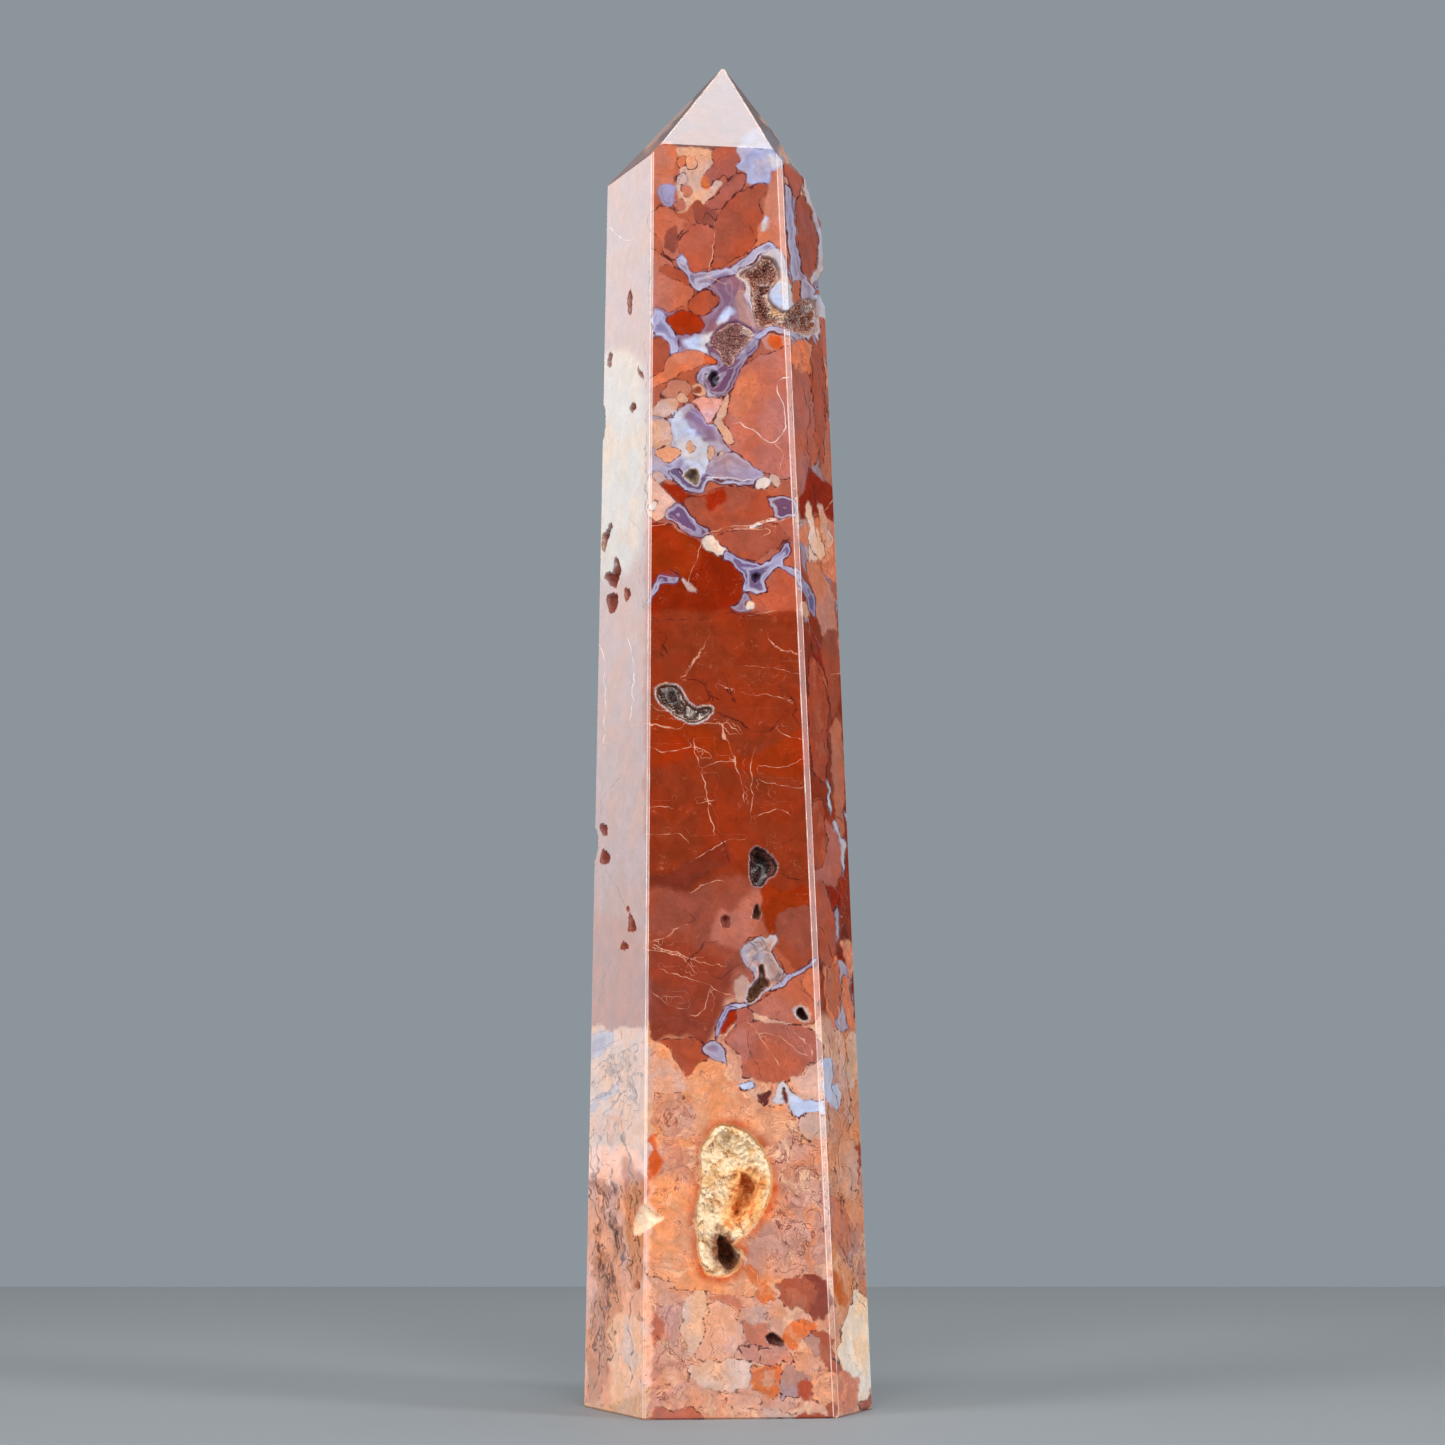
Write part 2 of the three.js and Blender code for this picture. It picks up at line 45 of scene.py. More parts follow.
print("camera")
photo = {
    "side": 1445,
    "focal": 2895.0,
    "eye": np.array([-1.0, -531.0, 50.2]),
    "pitch": math.radians(7.92),
    "pixelsPerMm": 5.45,
    "bevelTop": (778.0, 150.0),
    "bevelSlope": 0.0465,
    "bevelHalf": 2.0,
}


def makeCamera():
    lens = bpy.data.cameras.new("camera")
    lens.sensor_width = 36.0
    lens.lens = lens.sensor_width * photo["focal"] / photo["side"]
    lens.clip_start = 0.01
    camera = bpy.data.objects.new("camera", lens)
    camera.location = Vector(photo["eye"]) * mm
    camera.rotation_euler = (math.pi / 2 + photo["pitch"], 0, 0)
    scene.collection.objects.link(camera)
    scene.camera = camera


def toPhoto(points):
    away = points - photo["eye"]
    sine, cosine = math.sin(photo["pitch"]), math.cos(photo["pitch"])
    depth = away[:, 1] * cosine + away[:, 2] * sine
    height = away[:, 2] * cosine - away[:, 1] * sine
    middle = photo["side"] / 2
    across = middle + photo["focal"] * away[:, 0] / depth
    return np.stack([across, middle - photo["focal"] * height / depth], 1)


makeCamera()

# The ground form: foot corners, faces with their lean in degrees, and the facets of the point with
# their heading and tilt. They are the model's own driving sizes.
tower = {
    "height": 250.0,
    "corners": {
        "left": (-26.0, 1.8), "frontLeft": (-14.6, -22.0), "frontRight": (18.9, -19.0),
        "right": (25.8, -2.8), "backRight": (14.8, 20.8), "backLeft": (-16.5, 22.2),
    },
    "sides": {
        "front": ("frontLeft", "frontRight", 0.74), "right": ("frontRight", "right", 2.35),
        "backRight": ("right", "backRight", 1.35), "back": ("backRight", "backLeft", 1.0),
        "backLeft": ("backLeft", "left", 0.92), "left": ("left", "frontLeft", 0.48),
    },
    "apex": np.array([-0.9, 0.0, 250.6]),
    "crown": {
        "front": (6.0, 51.2), "right": (67.5, 55.9), "backRight": (115, 54.1),
        "back": (177.5, 51.5), "backLeft": (-115, 50.3), "left": (-64.5, 49.8),
    },
    "sideBevel": {
        "front": 1.2, "right": 0.7, "backRight": 0.8, "back": 0.7, "backLeft": 0.6, "left": 0.55,
    },
    "ridgeBevel": 0.3, "shoulderBevel": 0.25, "footBevel": 0.5,
}

# Lumps of stone missing from the edges: middle and half size
losses = [
    {"at": (20.3, 2.8, 236.4), "reach": (10.9, 13.1, 16.5)},
    {"at": (19.8, 1.7, 207.4), "reach": (3.5, 5.2, 3.7)},
    {"at": (-26.1, 0.4, 181.1), "reach": (3.3, 4.5, 5.6)},
    {"at": (-27.0, 1.2, 101.6), "reach": (3.5, 4.0, 4.2)},
    {"at": (25.6, -8.0, -0.6), "reach": (2.4, 4.6, 1.9)},
    {"at": (15.6, -19.6, 114.0), "reach": (1.9, 2.1, 2.6)},
]

# How close the mesh's points lie on each kind of face, plain and where a marking or a rim needs more
spacing = {
    "front": (0.62, 0.29), "left": (1.0, 0.5), "right": (0.9, 0.42), "crown front": (0.9, 0.6),
    "crown left": (1.2, 0.7), "crown right": (1.0, 0.5), "other": (2.0, 0.45), "bevel": (0.5, 0.3),
}

# How near to a marking's edge, in pixels, or to a loss, by its own size squared, the mesh is fine
fineWithin = {"seam": 2.2, "streak": 1.6, "bands": 3.0, "hollow": 3.0, "loss": 1.15}

# Of a mesh step: how far apart rows are, how long steps on an edge are, and how far inside it the net starts
hexRow, edgeStep, edgeGap = 0.866, 1.15, 0.55

# Noise and outlines
mixers = {"cell": (73856093, 19349663, 83492791), "seed": 2654435761, "stir": 1274126177}


def lattice(cell, seed):
    # A lasting random value from 0 to 1 for each cell.
    x, y, z = (cell[..., k] * mixers["cell"][k] for k in range(3))
    mixed = x ^ y ^ z ^ (seed * mixers["seed"])
    mixed = ((mixed ^ (mixed >> 13)) * mixers["stir"]) & 0xFFFFFFFF
    return ((mixed ^ (mixed >> 16)) & 0xFFFF) / 0xFFFF


def waver(points, wavelength, seed):
    # Smooth noise from -1 to 1.
    if points.shape[1] == 2:
        points = np.column_stack([points, np.zeros(len(points))])
    waves = points / wavelength
    base = np.floor(waves).astype(np.int64)
    part = waves - base
    part = part * part * (3 - 2 * part)
    total = np.zeros(len(points))
    for corner in itertools.product((0, 1), repeat=3):
        weight = np.prod(np.where(corner, part, 1 - part), 1)
        total += weight * lattice(base + np.array(corner), seed)
    return total * 2 - 1


def ruffle(points, waves, shift=0):
    # Noises added up, each given by its wavelength, seed and height.
    return sum(waver(points, length, seed + shift) * height for length, seed, height in waves)


def easing(value, low, high):
    part = np.clip((value - low) / (high - low), 0, 1)
    return part * part * (3 - 2 * part)


def readPoints(text):
    return np.array([[float(number) for number in pair.split(",")] for pair in text.split()])


def rounded(points, closed, steps=4):
    count = len(points)
    spans = count if closed else count - 1
    place = (lambda i: points[i % count]) if closed else (lambda i: points[min(max(i, 0), count - 1)])
    made = []
    for i in range(spans):
        a, b, c, d = (place(i + k) for k in (-1, 0, 1, 2))
        for step in range(steps):
            t = step / steps
            made.append(
                0.5 * (2 * b + (c - a) * t + (2 * a - 5 * b + 4 * c - d) * t**2
                       + (3 * b - a - 3 * c + d) * t**3)
            )
    if not closed:
        made.append(points[-1])
    return np.array(made)


def nearestOnEdges(points, start, end):
    edge = end - start
    away = points[:, None] - start[None]
    part = (away * edge).sum(2) / np.maximum((edge * edge).sum(1), 1e-9)
    gap = away - np.clip(part, 0, 1)[..., None] * edge
    square = (gap * gap).sum(2)
    best = square.argmin(1)
    rows = np.arange(len(points))
    side = edge[best, 0] * away[rows, best, 1] - edge[best, 1] * away[rows, best, 0]
    return np.sqrt(square[rows, best]), side


def depthInside(points, loop):
    # Distance to a closed outline, positive inside.
    end = np.roll(loop, -1, 0)
    distance = nearestOnEdges(points, loop, end)[0]
    x, y = points[:, :1], points[:, 1:]
    crosses = (loop[:, 1] > y) != (end[:, 1] > y)
    slope = (end[:, 0] - loop[:, 0]) / np.where(end[:, 1] == loop[:, 1], 1e-9, end[:, 1] - loop[:, 1])
    hits = crosses & (x < loop[:, 0] + (y - loop[:, 1]) * slope)
    return np.where(hits.sum(1) % 2 == 1, distance, -distance)


def near(points, outline, margin):
    low, high = outline.min(0) - margin, outline.max(0) + margin
    return np.flatnonzero(((points > low) & (points < high)).all(1))


def makeHollow(depth, wall, outline, rim=None, rimWidth=0, halo=None, haloWidth=0):
    # A natural hollow: its depth in mm, the stone inside, and the rim and halo of other stone round it,
    # with their widths in pixels. Half is the way from its outline to its middle.
    loop = rounded(readPoints(outline), True)
    grid = np.stack(np.meshgrid(*np.linspace(loop.min(0), loop.max(0), 30).T), -1).reshape(-1, 2)
    return {
        "depth": depth, "wall": wall, "rim": rim, "rimWidth": rimWidth, "halo": halo,
        "haloWidth": haloWidth, "loop": loop, "half": depthInside(grid, loop).max(),
    }


hollows = {
    "upperDruse": makeHollow(2.8, "druseWall",
        "758.9,258.9 763.1,254.7 777.8,262 781,277.8 770.5,290.4 771.5,302 783.1,309.8 790.5,308.3 "
        "797.8,301 808.3,297.8 818.4,301 819.3,319.9 817.2,334.2 802,334.2 787.3,329.4 774.7,325.2 "
        "759.9,328.3 753.2,317.8 750.5,298.9 748.4,282 737.8,275.7 750.5,266.2"),
    "purpleDruse": makeHollow(1.3, "purpleDark",
        "716.8,328.3 732.6,319.5 746.3,324.1 756.8,333.6 747.3,347.3 738.9,355.7 736.4,363.1 728.4,368.3 "
        "720.4,362 716.8,353.6 708.4,345.2"),
    "darkEye": makeHollow(1.5, "darkWall",
        "707.3,374.7 712.6,369.5 718.3,372.6 718.9,381 713.6,387.4 "
        "709.8,383.1", rim="lavenderDeep", rimWidth=2),
    "greenPocket": makeHollow(1.7, "greenWall",
        "683.8,474.7 690.9,468.8 696.8,469.4 700.2,475.7 696.8,484.8 "
        "689.4,481", rim="white", rimWidth=1.5),
    "tinyPocket": makeHollow(1.1, "darkWall", "750.5,576.8 755.7,571.5 761,574.7 755.7,583.1"),
    "whiteVug": makeHollow(2.2, "brownWall",
        "655.8,689.5 662.1,684.8 673.6,684.6 682.1,690.9 687.3,701 696.8,707.8 707.3,705.7 713,709.5 "
        "707.3,717.4 694.7,723.6 684.2,720.4 671.5,712.6 661,703.6 656.4,696.4", rim="white", rimWidth=1),
    "smokyDruse": makeHollow(2.9, "smokyWall",
        "750,852.6 755.7,846.9 763.1,848.4 773.6,857.8 777.8,867.3 773.6,875.7 766.3,879.9 762.5,886.7 "
        "754.7,886.7 750.5,882 749.4,863.1", rim="greyMauve", rimWidth=0.7),
    "brownPocket": makeHollow(1.4, "brownWall",
        "756.8,903.7 761.4,911.5 759.5,919.9 752.6,917.8 753.2,909.4"),
    "greyPocket": makeHollow(0.9, "redWall", "720.4,919.9 725.2,914 731.5,921 728.4,928.3 722.1,926.2"),
    "greyDruse": makeHollow(2.5, "brownWall",
        "746.3,1003.1 749,990.5 753.6,982.1 758.3,975.8 757.8,966.3 763.7,964.2 766.3,975.8 770.9,985.2 "
        "762.5,991.6 755.7,1000", rim="whiteStone", rimWidth=1.5),
    "tinyVug": makeHollow(1.4, "darkWall",
        "796.1,1010.5 801,1007.3 806.7,1012.6 807.9,1018.9 801.6,1020.4 "
        "797.4,1016.2", rim="whiteStone", rimWidth=2),
    "ochre": makeHollow(3.4, "ochreWall",
        "715.7,1125.9 730.5,1123.8 745.2,1130.5 761,1144.2 770.5,1165.2 773,1183.1 768.4,1204.2 "
        "759.9,1218.9 748.4,1233.6 734.3,1244.2 741.4,1250.5 742,1260 737.8,1269.8 726.3,1276.8 "
        "707.3,1274.7 699.3,1260 696.8,1242.1 695.1,1210.5 699.3,1189.5 700,1166.3 698.9,1151.6 "
        "706.3,1137.9", halo="orangeDeep", haloWidth=11),
    "ochreDeep": makeHollow(6.4, "ochreWall",
        "738.9,1168.4 755.7,1174.7 763.1,1189.5 757.8,1208.4 741,1225.2 728.4,1218.9 730.5,1200 "
        "736.8,1185.2"),
    "ochrePit": makeHollow(7.2, "ochreWall",
        "719.9,1233.6 730.5,1240 739.9,1254.7 738.9,1267.3 728.4,1272.6 718.9,1263.1 715.7,1246.3"),
    "creamPatch": makeHollow(0.9, "creamYellow",
        "645.2,1204.2 656.8,1212.6 664.2,1217.9 654.7,1225.2 645.2,1231.5 635.8,1234.7 632.6,1227.3 "
        "637.9,1211.6"),
    "footPocket": makeHollow(1, "darkWall",
        "765.2,1338.9 772.6,1331.5 783.1,1341 783.1,1347.3 770.5,1345.2"),
    "leftSpot": makeHollow(0.9, "redWall", "636.8,1281 639.6,1285.2 637.4,1290.1 635.3,1285.2"),
    "poreA": makeHollow(1.2, "redWall", "629.5,292.6 632,297.8 629.9,313.6 627.8,301"),
    "poreB": makeHollow(1.8, "redWall",
        "610.1,522.7 612,527.3 608,537.8 605,550 602.1,547.3 602.5,536.8 607.4,529.4"),
    "poreC": makeHollow(2, "redWall",
        "615.8,556.8 619.8,565.2 619.6,575.7 615.8,586.7 610.1,583.7 603.8,576.8 607.4,572.6 613,572.6 "
        "614.3,564.1"),
    "poreD": makeHollow(1.8, "redWall",
        "606.7,595.7 612.2,593.6 617.2,595.7 616.8,605.6 611.6,613.6 607.6,606.2"),
    "poreE": makeHollow(1.4, "redWall", "626.3,587.9 629.7,592.6 629,598.4 625.7,601 623.8,594.2"),
    "poreF": makeHollow(0.9, "redWall", "629.5,407.3 633.7,403.1 635.8,406.9 632,411.6"),
    "poreG": makeHollow(0.9, "redWall", "638.3,369.5 642.5,373.7 644.2,379.6 640.8,376.8"),
    "poreH": makeHollow(1.2, "redWall", "610.1,353.7 612,356.8 610.5,365.7 608,363.2"),
    "poreI": makeHollow(1, "redWall", "600,826.3 603.8,824.2 606.7,828.4 605.9,835.7 602.7,833.6"),
    "poreJ": makeHollow(1.3, "redWall", "600,861 602.1,850.5 606.7,852.6 610.1,860.6 604.2,863.1"),
    "poreK": makeHollow(1.5, "redWall",
        "626.3,903.1 630.5,913.6 635.8,928.3 632.6,932.5 627.8,929.4 629,919.9"),
    "poreL": makeHollow(0.9, "redWall", "621,946.2 624.2,942.6 628.4,946.2 623.1,949.4"),
}
backHollows = [
    {"side": "back", "at": (5.7, 165.9), "half": (2.3, 2.7), "depth": 2.0},
    {"side": "backLeft", "at": (-2.2, 117.9), "half": (1.5, 1.8), "depth": 1.4},
    {"side": "backRight", "at": (3.4, 88.6), "half": (1.1, 3.0), "depth": 1.4},
]
wallCurve = 2.4
hollowMargin = 14
outOfReach = -99.0
rimWander = ((4.5, 7, 0.7), (1.9, 8, 0.42))
backRoughness = ((1.1, 31, 0.25),)
wallRoughness = ((0.9, 41, 0.12), (0.35, 42, 0.06))
roughFrom = 0.3
lossRoughness = ((2.4, 51, 0.06), (0.8, 52, 0.03))


def hollowDepths(name, pixels):
    # How far inside a hollow's outline points lie, in photo pixels, for the points near it.
    loop = hollows[name]["loop"]
    rows = near(pixels, loop, hollowMargin)
    return rows, depthInside(pixels[rows], loop) + ruffle(pixels[rows], rimWander)


def wallProfile(inside, hollow):
    part = np.clip(inside / hollow["half"], 0, 1)
    return hollow["depth"] * (1 - (1 - part) ** wallCurve)


print("markings")
# Every kind of stone on the tower, and the tones of painted reflection on the left face: its colour, then
# how much fine layering and graininess it shows
stones = {
    "baseRed": (172, 92, 70, 0.4, 0.3),
    "blueRim": (109, 84, 105, 0.1, 0.0),
    "brick": (162, 78, 56, 0.3, 0.25),
    "brickDark": (164, 88, 74, 0.3, 0.3),
    "brickOrange": (170, 80, 54, 0.2, 0.3),
    "brickPink": (182, 108, 94, 0.4, 0.2),
    "brownWall": (104, 62, 44, 0.0, 0.5),
    "cream": (206, 162, 142, 0.2, 0.3),
    "creamGrey": (198, 152, 134, 0.1, 0.4),
    "creamLeft": (250, 206, 184, 0.2, 0.2),
    "creamPink": (222, 182, 162, 0.2, 0.4),
    "creamYellow": (255, 230, 206, 0.1, 0.3),
    "crownBlue": (120, 118, 142, 0.1, 0.2),
    "crownMauve": (114, 86, 88, 0.1, 0.3),
    "darkRed": (174, 74, 46, 0.2, 0.4),
    "darkWall": (58, 26, 22, 0.0, 0.6),
    "druseWall": (148, 118, 104, 0.0, 0.7),
    "greenWall": (128, 98, 58, 0.0, 0.6),
    "greyBlue": (160, 150, 166, 0.3, 0.1),
    "greyMauve": (176, 136, 132, 0.1, 0.4),
    "jasper": (137, 34, 3, 1.0, 0.1),
    "jasperBrown": (139, 50, 22, 1.0, 0.1),
    "jasperOrange": (150, 46, 8, 1.0, 0.1),
    "lavender": (146, 136, 168, 0.1, 0.0),
    "lavenderDeep": (138, 112, 142, 0.1, 0.0),
    "lavenderGrey": (160, 146, 166, 0.1, 0.1),
    "lavenderPale": (160, 136, 152, 0.1, 0.0),
    "lavenderStrip": (162, 146, 168, 0.1, 0.1),
    "lavenderVein": (112, 94, 134, 0.0, 0.0),
    "leafRed": (174, 96, 78, 0.3, 0.3),
    # Painted reflection: the left face's dusk, pale and veil tones stand for the softbox mirrored in its
    # polish, the dusk one darker where that reflection fades
    "leftDusk": (156, 94, 84, 0.3, 0.2),
    "leftPale": (180, 164, 152, 0.3, 0.2),
    "leftPeach": (250, 190, 168, 0.2, 0.25),
    "leftVeil": (158, 114, 110, 0.3, 0.2),
    "maroon": (140, 70, 56, 0.3, 0.3),
    "maroonBrown": (120, 45, 27, 0.8, 0.2),
    "maroonEye": (104, 48, 44, 0.0, 0.3),
    "maroonPebble": (166, 82, 56, 0.2, 0.4),
    "maroonRed": (138, 60, 42, 0.8, 0.2),
    "mauve": (210, 150, 128, 0.1, 0.9),
    "mauveDark": (206, 148, 132, 0.1, 0.9),
    "mauvePale": (216, 156, 130, 0.2, 0.6),
    "mauvePebble": (196, 130, 112, 0.1, 0.5),
    "ochreWall": (214, 160, 104, 0.0, 1.0),
    "paleBlue": (164, 164, 196, 0.1, 0.0),
    "orange": (218, 108, 50, 0.1, 0.5),
    "orangeBrick": (178, 90, 68, 0.2, 0.3),
    "orangeDeep": (204, 88, 38, 0.1, 0.4),
    "orangeFan": (202, 116, 86, 0.3, 0.2),
    "orangeSoft": (196, 118, 92, 0.2, 0.3),
    "orangeStreak": (228, 132, 96, 0.2, 0.6),
    "orangeTan": (212, 155, 130, 0.1, 0.3),
    "paleSwirl": (212, 173, 157, 0.5, 0.2),
    "peach": (228, 155, 114, 0.1, 0.6),
    "peachPale": (231, 184, 152, 0.2, 0.5),
    "peachPink": (224, 160, 132, 0.1, 0.4),
    "pink": (212, 156, 152, 0.1, 0.3),
    "pinkBrick": (184, 104, 88, 0.4, 0.2),
    "pinkCream": (222, 168, 146, 0.2, 0.4),
    "pinkMauve": (210, 152, 128, 0.1, 0.8),
    "pinkPale": (208, 158, 144, 0.2, 0.4),
    "pinkishRed": (150, 72, 52, 0.7, 0.2),
    "purpleDark": (110, 71, 98, 0.1, 0.0),
    "purpleGrey": (136, 94, 112, 0.1, 0.2),
    "quartzGrey": (164, 150, 154, 0.3, 0.6),
    "redDeep": (150, 36, 6, 0.5, 0.2),
    "redPebble": (156, 46, 8, 0.3, 0.2),
    "redPink": (204, 132, 110, 0.2, 0.4),
    "redWall": (140, 66, 50, 0.0, 0.6),
    "rust": (190, 110, 84, 0.3, 0.3),
    "rustRed": (182, 98, 82, 0.3, 0.3),
    "salmonRed": (182, 103, 82, 0.3, 0.3),
    "smokyWall": (64, 40, 38, 0.0, 0.6),
    "tan": (200, 162, 150, 0.2, 0.4),
    "tanMauve": (178, 122, 110, 0.2, 0.3),
    "tanPlume": (176, 126, 116, 0.2, 0.2),
    "white": (220, 202, 194, 0.1, 0.1),
    "whiteBlue": (196, 200, 220, 0.1, 0.0),
    "whiteStone": (198, 184, 186, 0.1, 0.1),
}
baseStone = "baseRed"


def readRows(text, maker):
    # Marks from rows of words and numbers, a colon, and points that may run on in indented rows.
    rows = [row.split(":") for row in text.strip().replace("\n ", " ").split("\n")]
    return [maker(outline, *values.split()) for values, outline in rows]


def makePatch(outline, stone, seam, soft, bands="0"):
    loop = rounded(readPoints(outline), True)
    return {"stone": stone, "loop": loop, "seam": float(seam), "bands": float(bands), "soft": float(soft)}


def makeStreak(line, tone, width):
    return {"tone": float(tone), "width": float(width), "line": rounded(readPoints(line), False, 3)}


